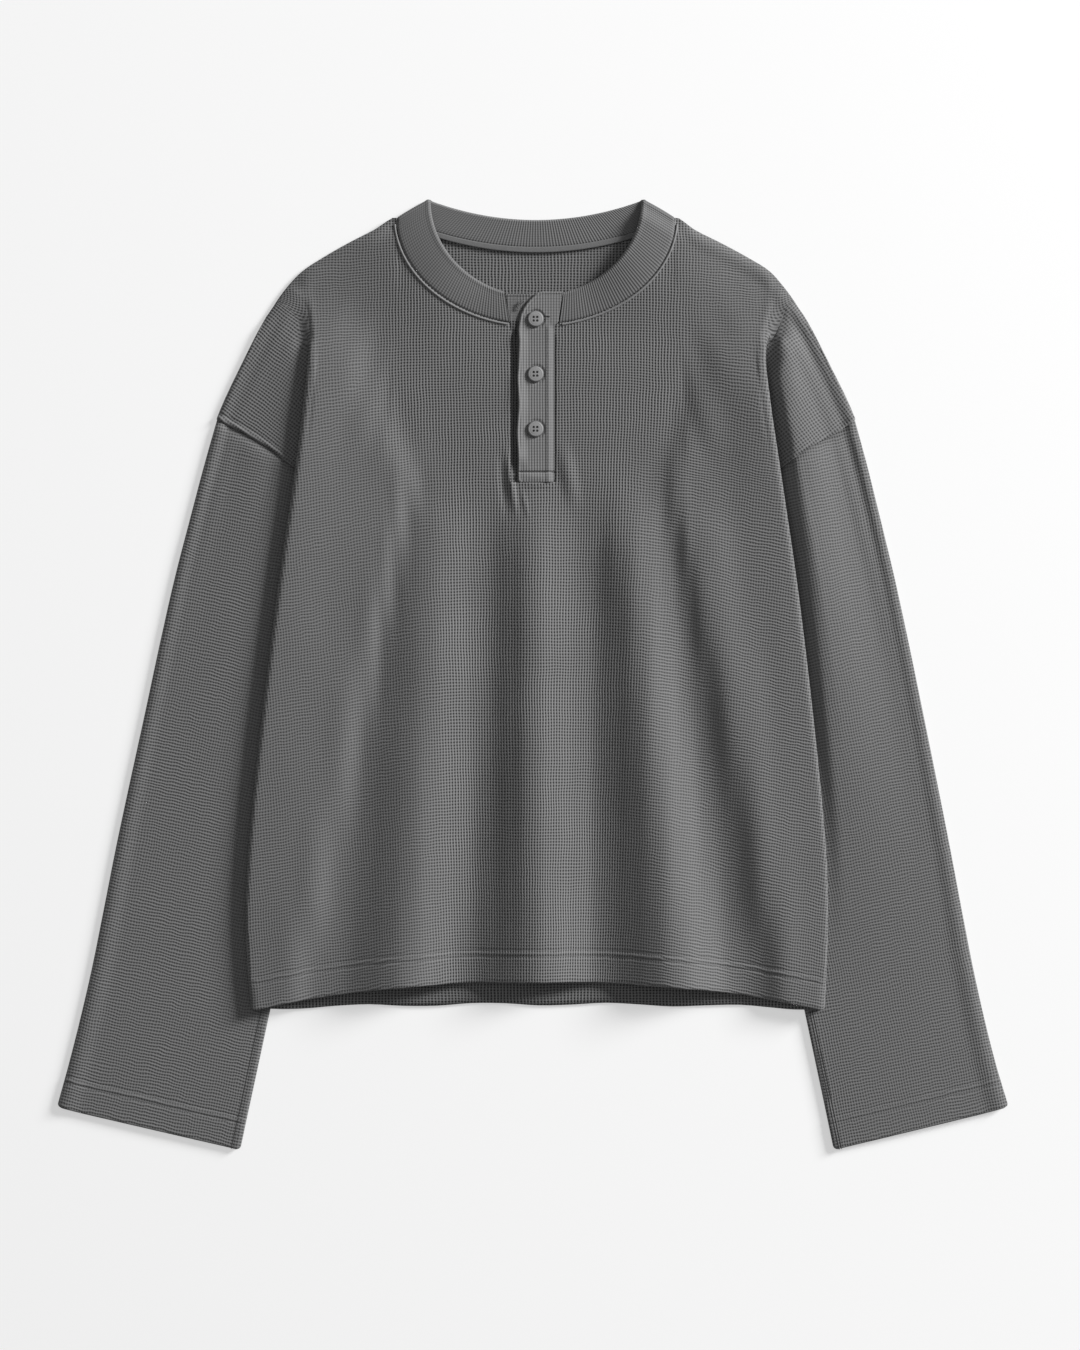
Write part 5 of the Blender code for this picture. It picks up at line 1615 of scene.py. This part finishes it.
def tube_mesh(name, fine, knit):
    """A closed skin round a row of loops, with its two ends capped."""
    rows, around = fine.shape[:2]
    number = np.arange(rows * around).reshape(rows, around)
    wrapped = np.concatenate([number, number[:, :1]], axis=1)
    quads = np.stack([wrapped[:-1, :-1], wrapped[:-1, 1:], wrapped[1:, 1:], wrapped[1:, :-1]], axis=-1)
    faces = quads.reshape(-1, 4).tolist() + [number[0, ::-1].tolist(), number[-1].tolist()]
    mesh = bpy.data.meshes.new(name)
    mesh.from_pydata((fine.reshape(-1, 3) * MM).tolist(), [], faces)
    uv = mesh.uv_layers.new(name="knit")
    corner = np.empty(len(mesh.loops), np.int32)
    mesh.loops.foreach_get("vertex_index", corner)
    uv.data.foreach_set("uv", knit.reshape(-1, 2)[corner].astype(np.float32).ravel())
    mesh.shade_smooth()
    turn_outwards(mesh)
    return mesh


def turn_outwards(mesh):
    """Turns every face of a closed mesh round if the whole mesh is inside out."""
    total = 0.0
    for polygon in mesh.polygons:
        total += polygon.area * polygon.normal.dot(polygon.center)
    if total < 0:
        mesh.flip_normals()


RIDGE_OUT = 1.75           # the neck seam's ridge runs this far outside the band's edge
RIDGE_ENDS = (0.06, 0.015)  # and stops this far from the shoulder and the placket, in radians
RIDGE_ABOVE_Y = 270.0      # it lies on the front's points above here
RIDGE_ABOVE_Z = 2.0        # and higher than this, past its turned-down edges
RIDGE_POINTS = 260
RIDGE_EVENED = 12          # its height is evened out over so many of them each way
RIDGE_SIDES = 8
RIDGE_HALF_WIDTH = 0.8
RIDGE_HALF_HEIGHT = 0.75
RIDGE_UP = 0.35            # its middle stands this far above the front's face


def make_seam_ridges(front_fine):
    """The front neck seam: a narrow pressed ridge beside the band, on each side of the placket."""
    flat = front_fine.reshape(-1, 3)
    near = flat[(flat[:, 1] > RIDGE_ABOVE_Y) & (flat[:, 2] > RIDGE_ABOVE_Z)]
    ridges = []
    for side in SIDES:
        angles = np.linspace(RIDGE_ENDS[0], side.seam_end - RIDGE_ENDS[1], RIDGE_POINTS)
        path = np.array([tuple(seam_front(angle, side, RIDGE_OUT)) for angle in angles])
        for point in path:
            off = np.hypot(near[:, 0] - point[0], near[:, 1] - point[1])
            point[2] = near[np.argsort(off)[:4], 2].mean()
        padded = np.pad(path[:, 2], RIDGE_EVENED, mode="edge")
        evenly = np.ones(2 * RIDGE_EVENED + 1) / (2 * RIDGE_EVENED + 1)
        path[:, 2] = np.convolve(padded, evenly, mode="valid") + WALL / 2 + RIDGE_UP
        ahead = np.gradient(path, axis=0)
        ahead /= np.linalg.norm(ahead, axis=1, keepdims=True)
        out = np.cross(ahead, (0.0, 0.0, 1.0))
        loops = []
        for turn in np.linspace(0, 2 * math.pi, RIDGE_SIDES + 1)[:-1]:
            up = np.array((0, 0, RIDGE_HALF_HEIGHT * math.sin(turn)))
            loops.append(path + (out * math.cos(turn) * RIDGE_HALF_WIDTH + up))
        fine = np.stack(loops, axis=1)
        knit = np.zeros(fine.shape[:2] + (2,))
        knit[:, :, 0] = np.arange(len(path))[:, None] / 3.0
        mesh = tube_mesh(f"{side.name}_neck_seam", fine, knit)
        ridges.append(show(f"{side.name}_neck_seam", mesh, SEAM_RIB))
    return ridges


# Round the tape: how far down from its upper edge, and how high above its middle
TAPE_PROFILE = [
    (0.0, 0.0), (0.25, 0.45), (1.0, 0.42), (2.2, 0.5), (3.6, 0.42),
    (4.35, 0.45), (4.6, 0.0), (4.3, -0.4), (0.3, -0.4),
]
TAPE_STEPS = 96


def make_tape():
    z = BAND_WALL + GAP * 1.5 + TAPE_WALL / 2
    fine = np.empty((TAPE_STEPS + 1, len(TAPE_PROFILE), 3))
    knit = np.zeros((TAPE_STEPS + 1, len(TAPE_PROFILE), 2))
    for k in range(TAPE_STEPS + 1):
        seam = seam_back(TAPE_REACH * TAPE_SPARE * (2 * k / TAPE_STEPS - 1))
        for j, (down, up) in enumerate(TAPE_PROFILE):
            fine[k, j] = (seam.x, seam.y + TAPE_OVERLAP - down, z + up)
    mesh = tube_mesh("neck_tape_cloth", fine, knit)
    return show("neck_tape_cloth", mesh, TAPE, "neck_tape")


# Placket


STRIP_SAMPLES = 73
STRIP_RIB_PITCH = 2.2
STRIP_ROW_PITCH = 2.3
EDGE_ROLL = 0.8            # a strip's edges roll down over this width
TOP_ROLL = 0.6             # and the upper one's by this share of its wall
END_Y = 168.0              # the upper strip's rows are closer together below here,
CORNER_Y = 280.0           # and both strips' above here
UNDER_NECK_Y = 283.0       # above here the under strip is rib knit, as the band is
UNDER_Z = -1.42            # height of the under strip's middle over the front's,
UNDER_NECK_Z = 0.15        # and up at the neck
RIM_RIDGES = (Ridge(1.15, 1.1, 0.34), Ridge(2.6, 0.9, -0.16))
UNDER_RIM_RIDGES = (Ridge(1.0, 1.0, 0.3), Ridge(2.4, 0.9, -0.15))
DIMPLE = Ridge(6.9, 1.5, -0.75)    # round each button
MARGIN_X = 9.4             # the pressed margin starts here, with its ribs flattened
BOX_STITCH_Y = 162.0
BOX_Y = 158.0              # the cloth swells below the box stitch here
BUTTONHOLE = (8.6, 13.6, 286.0)    # the end of the upper buttonhole that shows beside its button
FREE_WIDTH = 9.0           # the free edge stands up over this width,
FREE_STAND = 2.0           # by this,
FREE_WAVE = 0.35           # and waves by this


def cut_lines(cuts, ys):
    """Left and right edges of a strip at each height, read from its cuts."""
    rows = sorted(cuts)
    keys = [row.y for row in rows]
    left = [read(rows, y, "left") if keys[0] <= y <= keys[-1] else rows[0].left for y in ys]
    right = [read(rows, y, "right") for y in ys]
    return np.array(left), np.array(right)


def distance_to(line, x, y):
    """Distance in plan from each point to the nearest place on a line."""
    best = np.full(x.shape, np.inf)
    for (start_x, start_y), (end_x, end_y) in zip(line[:-1], line[1:]):
        dx = end_x - start_x
        dy = end_y - start_y
        along = np.clip(((x - start_x) * dx + (y - start_y) * dy) / (dx * dx + dy * dy), 0, 1)
        best = np.minimum(best, np.hypot(x - start_x - along * dx, y - start_y - along * dy))
    return best


def strip(name, cuts, ys, wall, roll, middle_z, face, knit_at, material, node):
    """A strip's closed skin: its face from left to right at each y, then its under side back."""
    left, right = cut_lines(cuts, ys)
    share = np.linspace(0.0, 1.0, STRIP_SAMPLES)
    x = left[:, None] + (right - left)[:, None] * share
    y = np.repeat(ys[:, None], STRIP_SAMPLES, axis=1)
    from_free = distance_to([*zip(left, ys), (right[-1], ys[-1])], x, y)
    from_side = np.minimum(np.minimum(from_free, 0.5 + right[:, None] - x), 0.4 + y - ys[0])
    rolled = roll * wall * (1 - np.sqrt(1 - (1 - np.clip(from_side / EDGE_ROLL, 0, 1)) ** 2))
    middle = np.vectorize(placket_z)(x, y) + middle_z(x, y, left[:, None])
    middle = np.maximum(middle, WALL + wall / 2 + 0.1)
    top = middle + wall / 2 + face(x, y, from_free) - rolled
    under = middle - wall / 2 + 0.5 * rolled
    fine = np.concatenate([np.stack([x, y, top], -1), np.stack([x, y, under], -1)[:, ::-1]], axis=1)
    knit = np.stack(knit_at(x, y), -1)
    knit = np.concatenate([knit, knit[:, ::-1]], axis=1)
    return show(name, tube_mesh(name, fine, knit), material, node)


def top_strip_z(x, y, left):
    """The strip lies over the front at its end, and its free edge stands up and waves."""
    free = smoothstep((left + FREE_WIDTH - x) / FREE_WIDTH)
    stand = FREE_STAND + FREE_WAVE * np.sin(y / 8.6 + 0.9)
    inside = smoothstep((y - 164.0) / 12.0) * (1 - 0.75 * smoothstep((y - 268.0) / 14.0))
    return PLACKET_LIFT + free * stand * inside


def top_strip_face(x, y, from_free):
    """Fine ribs, the turned rim of the free edge, the pressed margin, the box and the buttonhole."""
    margin = smoothstep((x - MARGIN_X) / 1.2)
    ribs = 0.075 * np.cos(2 * math.pi * x / STRIP_RIB_PITCH) * (1 - 0.8 * margin)
    rim = ridge_relief(RIM_RIDGES, from_free)
    corner = smoothstep((y - 283.0) / 4.0) * hump(from_free, 1.3, 1.6)
    whipped = 0.13 * corner * np.cos(2 * math.pi * (x + 0.9 * y) / 1.7)
    below_neck = smoothstep((282.0 - y) / 6.0)
    pressed = (0.5 * hump(x, 12.6, 3.0) - 0.75 * smoothstep((x - 13.6) / 3.6)) * below_neck
    box = -1.3 * hump(y, BOX_STITCH_Y, 1.5) + 0.55 * hump(y, BOX_Y, 3.4) * hump(x, CENTRE_X, 16.0)
    from_buttons = [np.hypot(x - BUTTON_X, y - seat) for seat in BUTTON_YS]
    dimples = sum(hump(off, DIMPLE.place, DIMPLE.half_width) for off in from_buttons)
    start, end, line = BUTTONHOLE
    along = smoothstep((x - start) / 0.8) * smoothstep((end - x) / 0.8)
    slit = along * (0.3 * hump(np.abs(y - line), 1.15, 0.8) - 1.5 * hump(y, line, 0.8))
    return ribs + rim + whipped + pressed + box + DIMPLE.height * dimples + slit


def under_strip_z(x, y, _left):
    """Level with the front where it joins it, and sunk where the upper strip's edge lies over it."""
    free_x = np.interp(y, *UPPER_STRIP_EDGE)
    sunk = smoothstep((x - free_x + 3.4) / 2.4) * smoothstep((y - 160.0) / 14.0)
    shown = smoothstep((free_x + 3.0 - x) / 2.0)
    level = mix(UNDER_Z, UNDER_NECK_Z, smoothstep((y - 266.0) / 12.0))
    depth = mix(2.3, 1.2, smoothstep((y - 278.0) / 10.0))
    return level - sunk * depth + shown * torso_relief(x, y)


def under_strip_face(x, y, _from_free):
    """The turned rim of its upper end, and the ribs there."""
    rim = ridge_relief(UNDER_RIM_RIDGES, UNDER_STRIP[0].y - y)
    ribs = 0.1 * np.cos(2 * math.pi * x / STRIP_RIB_PITCH) * smoothstep((y - 281.0) / 3.0)
    return rim + ribs


def strip_knit(x, y):
    return x / STRIP_RIB_PITCH, y / STRIP_ROW_PITCH


def heights(cuts, *steps):
    """The heights of a strip's rows, from (end, step) pairs that follow on from its lower end."""
    ys = [cuts[-1].y]
    for end, step in steps:
        count = max(2, round((end - ys[-1]) / step) + 1)
        ys += list(np.linspace(ys[-1], end, count)[1:])
    return np.array(ys)


def make_placket():
    ys = heights(TOP_STRIP, (END_Y, 0.45), (CORNER_Y, 1.05), (TOP_STRIP[0].y, 0.4))
    top = strip("placket_top_cloth", TOP_STRIP, ys, PLACKET_WALL, TOP_ROLL, top_strip_z,
                top_strip_face, strip_knit, STRIP_RIB, "placket_top")
    ys = heights(UNDER_STRIP, (CORNER_Y, 1.1), (UNDER_STRIP[0].y, 0.5))
    under = strip("placket_under_cloth", UNDER_STRIP, ys, UNDER_WALL, 0.0, under_strip_z,
                  under_strip_face, body_knit, SHADED_UNDER_KNIT, "placket_under")
    # A clear grid all over, so the under strip takes its darker greys of painted shade.
    set_crisp(under, np.ones(len(under.data.vertices)))
    under.data.materials.append(UNDER_RIB)
    for polygon in under.data.polygons:
        polygon.material_index = int(polygon.center.y > UNDER_NECK_Y * MM)
    return top, under


# Buttons


def evaluated_mesh(obj):
    """A plain mesh of an object with its modifiers, and the object gone."""
    bpy.context.view_layer.update()
    graph = bpy.context.evaluated_depsgraph_get()
    mesh = bpy.data.meshes.new_from_object(obj.evaluated_get(graph))
    bpy.data.objects.remove(obj, do_unlink=True)
    return mesh


# From a button's middle over its face and rim to the middle of its back: radius and height
BUTTON_LINE = [
    (0.0, 1.95), (3.9, 1.98), (4.3, 1.94), (4.6, 1.84), (4.9, 1.92),
    (5.3, 1.9), (5.75, 1.74), (6.1, 1.48), (6.4, 1.12), (6.6, 0.72),
    (6.6, 0.42), (6.35, 0.18), (5.8, 0.04), (5.0, 0.0), (0.0, 0.0),
]
BUTTON_SIDES = 64
HOLE_SIDES = 20


def button_mesh():
    """A button at the origin, turned from its line, with four thread holes cut through it."""
    line = bpy.data.meshes.new("button line")
    points = [Vector((radius, 0.0, z)) * MM for radius, z in BUTTON_LINE]
    line.from_pydata(points, [(k, k + 1) for k in range(len(points) - 1)], [])
    disc = added("disc", line)
    turning = disc.modifiers.new("turned", "SCREW")
    turning.steps = BUTTON_SIDES
    turning.render_steps = BUTTON_SIDES
    turning.use_merge_vertices = True
    turning.merge_threshold = 0.00001
    holes = bmesh.new()
    radius = HOLE_RADIUS * MM
    for a, b in ((-1, -1), (1, -1), (1, 1), (-1, 1)):
        made = bmesh.ops.create_cone(holes, cap_ends=True, segments=HOLE_SIDES, radius1=radius,
                                     radius2=radius, depth=10 * MM)
        off = Vector((a, b, 0.0)) * HOLE_OFFSET * MM
        bmesh.ops.translate(holes, verts=made["verts"], vec=off)
    holes_mesh = bpy.data.meshes.new("holes")
    holes.to_mesh(holes_mesh)
    holes.free()
    cutter = added("holes", holes_mesh)
    disc.modifiers.new("cut", "BOOLEAN").object = cutter
    mesh = evaluated_mesh(disc)
    bpy.data.objects.remove(cutter, do_unlink=True)
    return mesh


def make_buttons():
    """The three buttons, each with the attribute "rim" at 1 round its outside, for painted shade
    there.
    """
    for number, y in enumerate(BUTTON_YS, 1):
        mesh = button_mesh()
        z = placket_z(BUTTON_X, y) + PLACKET_LIFT + PLACKET_WALL / 2 + BUTTON_SEAT
        rim = mesh.attributes.new("rim", "FLOAT", "POINT")
        for vertex, shade in zip(mesh.vertices, rim.data):
            # Painted shade round the button's outside, where its edge turns down to the strip.
            shade.value = smoothstep((vertex.co.xy.length / MM - 5.5) / 0.9)
            vertex.co += Vector((BUTTON_X, y, z)) * MM
        mesh.shade_smooth()
        mesh.set_sharp_from_angle(angle=math.radians(50))
        show(f"button_{number}_plastic", mesh, BUTTON, f"button_{number}")


# Each loose thread's start, middle and end: where it is, and how high over the strip's middle
THREAD_ENDS = [
    ((-10.6, 293.0, 0.5), (-12.2, 294.6, 0.9), (-11.0, 296.4, 0.5)),
    ((-9.6, 295.0, 0.6), (-11.6, 297.0, 1.3), (-8.6, 297.6, 0.6)),
    ((-8.4, 296.4, 0.5), (-8.8, 299.0, 1.1), (-6.6, 298.6, 0.5)),
    ((-11.4, 291.6, 0.4), (-13.4, 292.4, 0.6), (-12.4, 295.4, 0.4)),
]
THREAD_STEPS = 8
THREAD_RADIUS = 0.28


def make_loose_threads():
    """Short ends of the seam's thread that stand out beside the placket's rounded corner."""
    curve = bpy.data.curves.new("threads", "CURVE")
    curve.dimensions = "3D"
    curve.bevel_depth = THREAD_RADIUS * MM
    curve.bevel_resolution = 1
    curve.use_fill_caps = True
    for ends in THREAD_ENDS:
        spline = curve.splines.new("POLY")
        spline.points.add(THREAD_STEPS)
        for k, point in enumerate(spline.points):
            share = k / THREAD_STEPS
            x, y, up = (through(*axis, share) for axis in zip(*ends))
            point.co = (*(Vector((x, y, placket_z(x, y) + PLACKET_LIFT + up)) * MM), 1.0)
    mesh = evaluated_mesh(added("threads", curve))
    mesh.shade_smooth()
    return show("placket_loose_threads", mesh, THREAD)


# Stitches


def stitch_tree():
    """Small stitches set along a line: each a flattened bead turned along it."""
    tree = bpy.data.node_groups.new("stitches", "GeometryNodeTree")
    tree.is_modifier = True
    tree.interface.new_socket("Line", in_out="INPUT", socket_type="NodeSocketGeometry")
    for name in ("Stitch spacing", "Stitch length", "Thread width"):
        tree.interface.new_socket(name, in_out="INPUT", socket_type="NodeSocketFloat")
    tree.interface.new_socket("Thread", in_out="INPUT", socket_type="NodeSocketMaterial")
    tree.interface.new_socket("Stitches", in_out="OUTPUT", socket_type="NodeSocketGeometry")
    nodes = tree.nodes
    links = tree.links
    given = nodes.new("NodeGroupInput")
    curve = nodes.new("GeometryNodeMeshToCurve")
    even = nodes.new("GeometryNodeResampleCurve")
    even.mode = "LENGTH"
    bead = nodes.new("GeometryNodeMeshUVSphere")
    bead.inputs["Segments"].default_value = 6
    bead.inputs["Rings"].default_value = 4
    bead.inputs["Radius"].default_value = 0.5
    ahead = nodes.new("GeometryNodeInputTangent")
    turn = nodes.new("FunctionNodeAlignEulerToVector")
    turn.axis = "X"
    size = nodes.new("ShaderNodeCombineXYZ")
    put = nodes.new("GeometryNodeInstanceOnPoints")
    real = nodes.new("GeometryNodeRealizeInstances")
    paint = nodes.new("GeometryNodeSetMaterial")
    out = nodes.new("NodeGroupOutput")
    for output, socket in (
        (given.outputs["Line"], curve.inputs[0]),
        (curve.outputs[0], even.inputs["Curve"]),
        (given.outputs["Stitch spacing"], even.inputs["Length"]),
        (even.outputs[0], put.inputs["Points"]),
        (bead.outputs[0], put.inputs["Instance"]),
        (ahead.outputs[0], turn.inputs["Vector"]),
        (turn.outputs[0], put.inputs["Rotation"]),
        (given.outputs["Stitch length"], size.inputs[0]),
        (given.outputs["Thread width"], size.inputs[1]),
        (given.outputs["Thread width"], size.inputs[2]),
        (size.outputs[0], put.inputs["Scale"]),
        (put.outputs[0], real.inputs[0]),
        (real.outputs[0], paint.inputs["Geometry"]),
        (given.outputs["Thread"], paint.inputs["Material"]),
        (paint.outputs[0], out.inputs[0]),
    ):
        links.new(output, socket)
    return tree


STITCHES = stitch_tree()


def make_stitches(name, lines, spacing=2.5, length=2.3, width=0.45, thread=THREAD):
    """One piece of all the stitches along some lines of points in millimetres."""
    vertices, edges = [], []
    for line in lines:
        start = len(vertices)
        vertices += [tuple(np.array(point) * MM) for point in line]
        edges += [(k, k + 1) for k in range(start, len(vertices) - 1)]
    path = bpy.data.meshes.new(name)
    path.from_pydata(vertices, edges, [])
    obj = added("path", path)
    modifier = obj.modifiers.new("stitches", "NODES")
    modifier.node_group = STITCHES
    values = {
        "Stitch spacing": spacing * MM,
        "Stitch length": length * MM,
        "Thread width": width * MM,
        "Thread": thread,
    }
    for item in STITCHES.interface.items_tree:
        if item.in_out == "INPUT" and item.name in values:
            modifier[item.identifier] = values[item.name]
    mesh = evaluated_mesh(obj)
    mesh.name = name
    mesh.shade_smooth()
    return show(name, mesh, thread)


def level_line(fine, distance, columns, lift):
    """Points on a fine grid at one distance from its last row, lifted to the cloth's face."""
    lengths = distance_along(fine, 0, backwards=True)
    line = []
    for c in columns:
        order = lengths[::-1, c]
        point = [np.interp(distance, order, fine[::-1, c, axis]) for axis in range(3)]
        line.append((point[0], point[1], point[2] + lift))
    return line


SKIN_SLACK = 0.2           # a point this little below a sleeve's upper wall still counts as on it
UNDERARM_SHOWN_Y = -225.0  # the underarm seams show below here
UNDERARM_SUNK = 0.05       # and their thread lies this deep in the cloth
UNDERARM_INSETS = {"right": (6.2,), "left": (3.4, 5.4)}
UNDERARM_WIDTHS = {"right": 0.6, "left": 0.8}


def cuff_lines(fine):
    """The twin rows of stitches on a cuff's upper wall."""
    middle = fine.shape[0] // 2
    tops = [c for c in range(fine.shape[1]) if fine[middle, c, 2] > layer(1) - SKIN_SLACK]
    ordered = sorted(tops, key=lambda c: fine[-1, c, 0])
    return [level_line(fine, row, ordered, WALL / 2) for row in HEM_ROWS]


def underarm_line(sleeve, inset):
    """The sleeve's underarm seam where it shows below the hem: a line beside the inner edge."""
    line = []
    for row, distances in zip(sleeve.grid, sleeve.from_inner):
        if row[:, 1].max() < UNDERARM_SHOWN_Y:
            tops = np.flatnonzero(row[:, 2] > layer(1) - SKIN_SLACK)
            order = tops[np.argsort(distances[tops])]
            x, y, z = (np.interp(inset, distances[order], row[order, axis]) for axis in range(3))
            line.append((x, y, z + WALL / 2 - UNDERARM_SUNK))
    return line


def make_underarm(side, sleeve):
    lines = [underarm_line(sleeve, inset) for inset in UNDERARM_INSETS[side.name]]
    width = UNDERARM_WIDTHS[side.name]
    return make_stitches(f"{side.name}_underarm_seam", lines, 1.3, 2.0, width, SEAM_SHADE_THREAD)


# Set out

front, front_grid, torso_columns = make_front()
back_panel = make_back()
sleeves = {side: make_sleeve(side) for side in SIDES}
neck_band = make_band()
seam_ridges = make_seam_ridges(front_grid)
neck_tape = make_tape()
placket_top, placket_under = make_placket()
make_buttons()
loose_threads = make_loose_threads()
hem_lines = [level_line(front_grid, row, torso_columns, WALL / 2) for row in HEM_ROWS]
hem_stitches = make_stitches("hem_stitches", hem_lines)
cuffs = [make_stitches(f"{side.name}_cuff_stitches", cuff_lines(sleeves[side].grid)) for side in SIDES]
underarms = [make_underarm(side, sleeves[side]) for side in SIDES]

declare_sheet(front, (0.72, 0.62))
declare_sheet(back_panel, (0.53, 0.64))
for side, cuff, underarm in zip(SIDES, cuffs, underarms):
    declare_sheet(sleeves[side].piece, (0.48, 0.6))
declare_sheet(neck_band, (0.5, 0.06))
declare_sheet(neck_tape, (0.19, 0.011))
declare_sheet(placket_top, (0.036, 0.31))
declare_sheet(placket_under, (0.028, 0.31))

# Floor, light and camera


def floor_material():
    shader = Shader("pale floor", None)
    shader.surface.inputs["Base Color"].default_value = (0.5, 0.5, 0.5, 1.0)
    shader.surface.inputs["Emission Color"].default_value = (1.0, 1.0, 1.0, 1.0)
    shader.surface.inputs["Emission Strength"].default_value = 0.45
    shader.surface.inputs["Roughness"].default_value = 0.9
    return shader.material


FLOOR_HALF = 4             # metres
FLOOR_Z = -0.0004
floor_mesh = bpy.data.meshes.new("floor")
corners = [(x * FLOOR_HALF, y * FLOOR_HALF, FLOOR_Z) for x, y in ((-1, -1), (1, -1), (1, 1), (-1, 1))]
floor_mesh.from_pydata(corners, [], [(0, 1, 2, 3)])
floor_mesh.materials.append(floor_material())
floor = added("floor", floor_mesh)


def soft_light(name, place, size, power):
    light = bpy.data.lights.new(name, "AREA")
    light.size = size
    light.energy = power
    obj = added(name, light)
    obj.location = place
    obj.rotation_euler = (-Vector(place)).to_track_quat("-Z", "Y").to_euler()


soft_light("window_side", (6.2, 3.5, 2.6), 2.3, 1080.0)
soft_light("overhead", (-0.5, 0.5, 5.0), 4.0, 30.0)
world = bpy.data.worlds.new("pale room")
world.use_nodes = True
background = world.node_tree.nodes["Background"]
background.inputs["Color"].default_value = (1.0, 1.0, 1.0, 1.0)
background.inputs["Strength"].default_value = 0.2
bpy.context.scene.world = world
bpy.context.scene.view_settings.view_transform = "Standard"

camera_data = bpy.data.cameras.new("camera")
camera_data.sensor_fit = "VERTICAL"
camera_data.sensor_height = 36.0
camera_data.lens = 100.0
camera = added("camera", camera_data)
camera.location = (0.006, -0.0004, 3.006)
bpy.context.scene.camera = camera
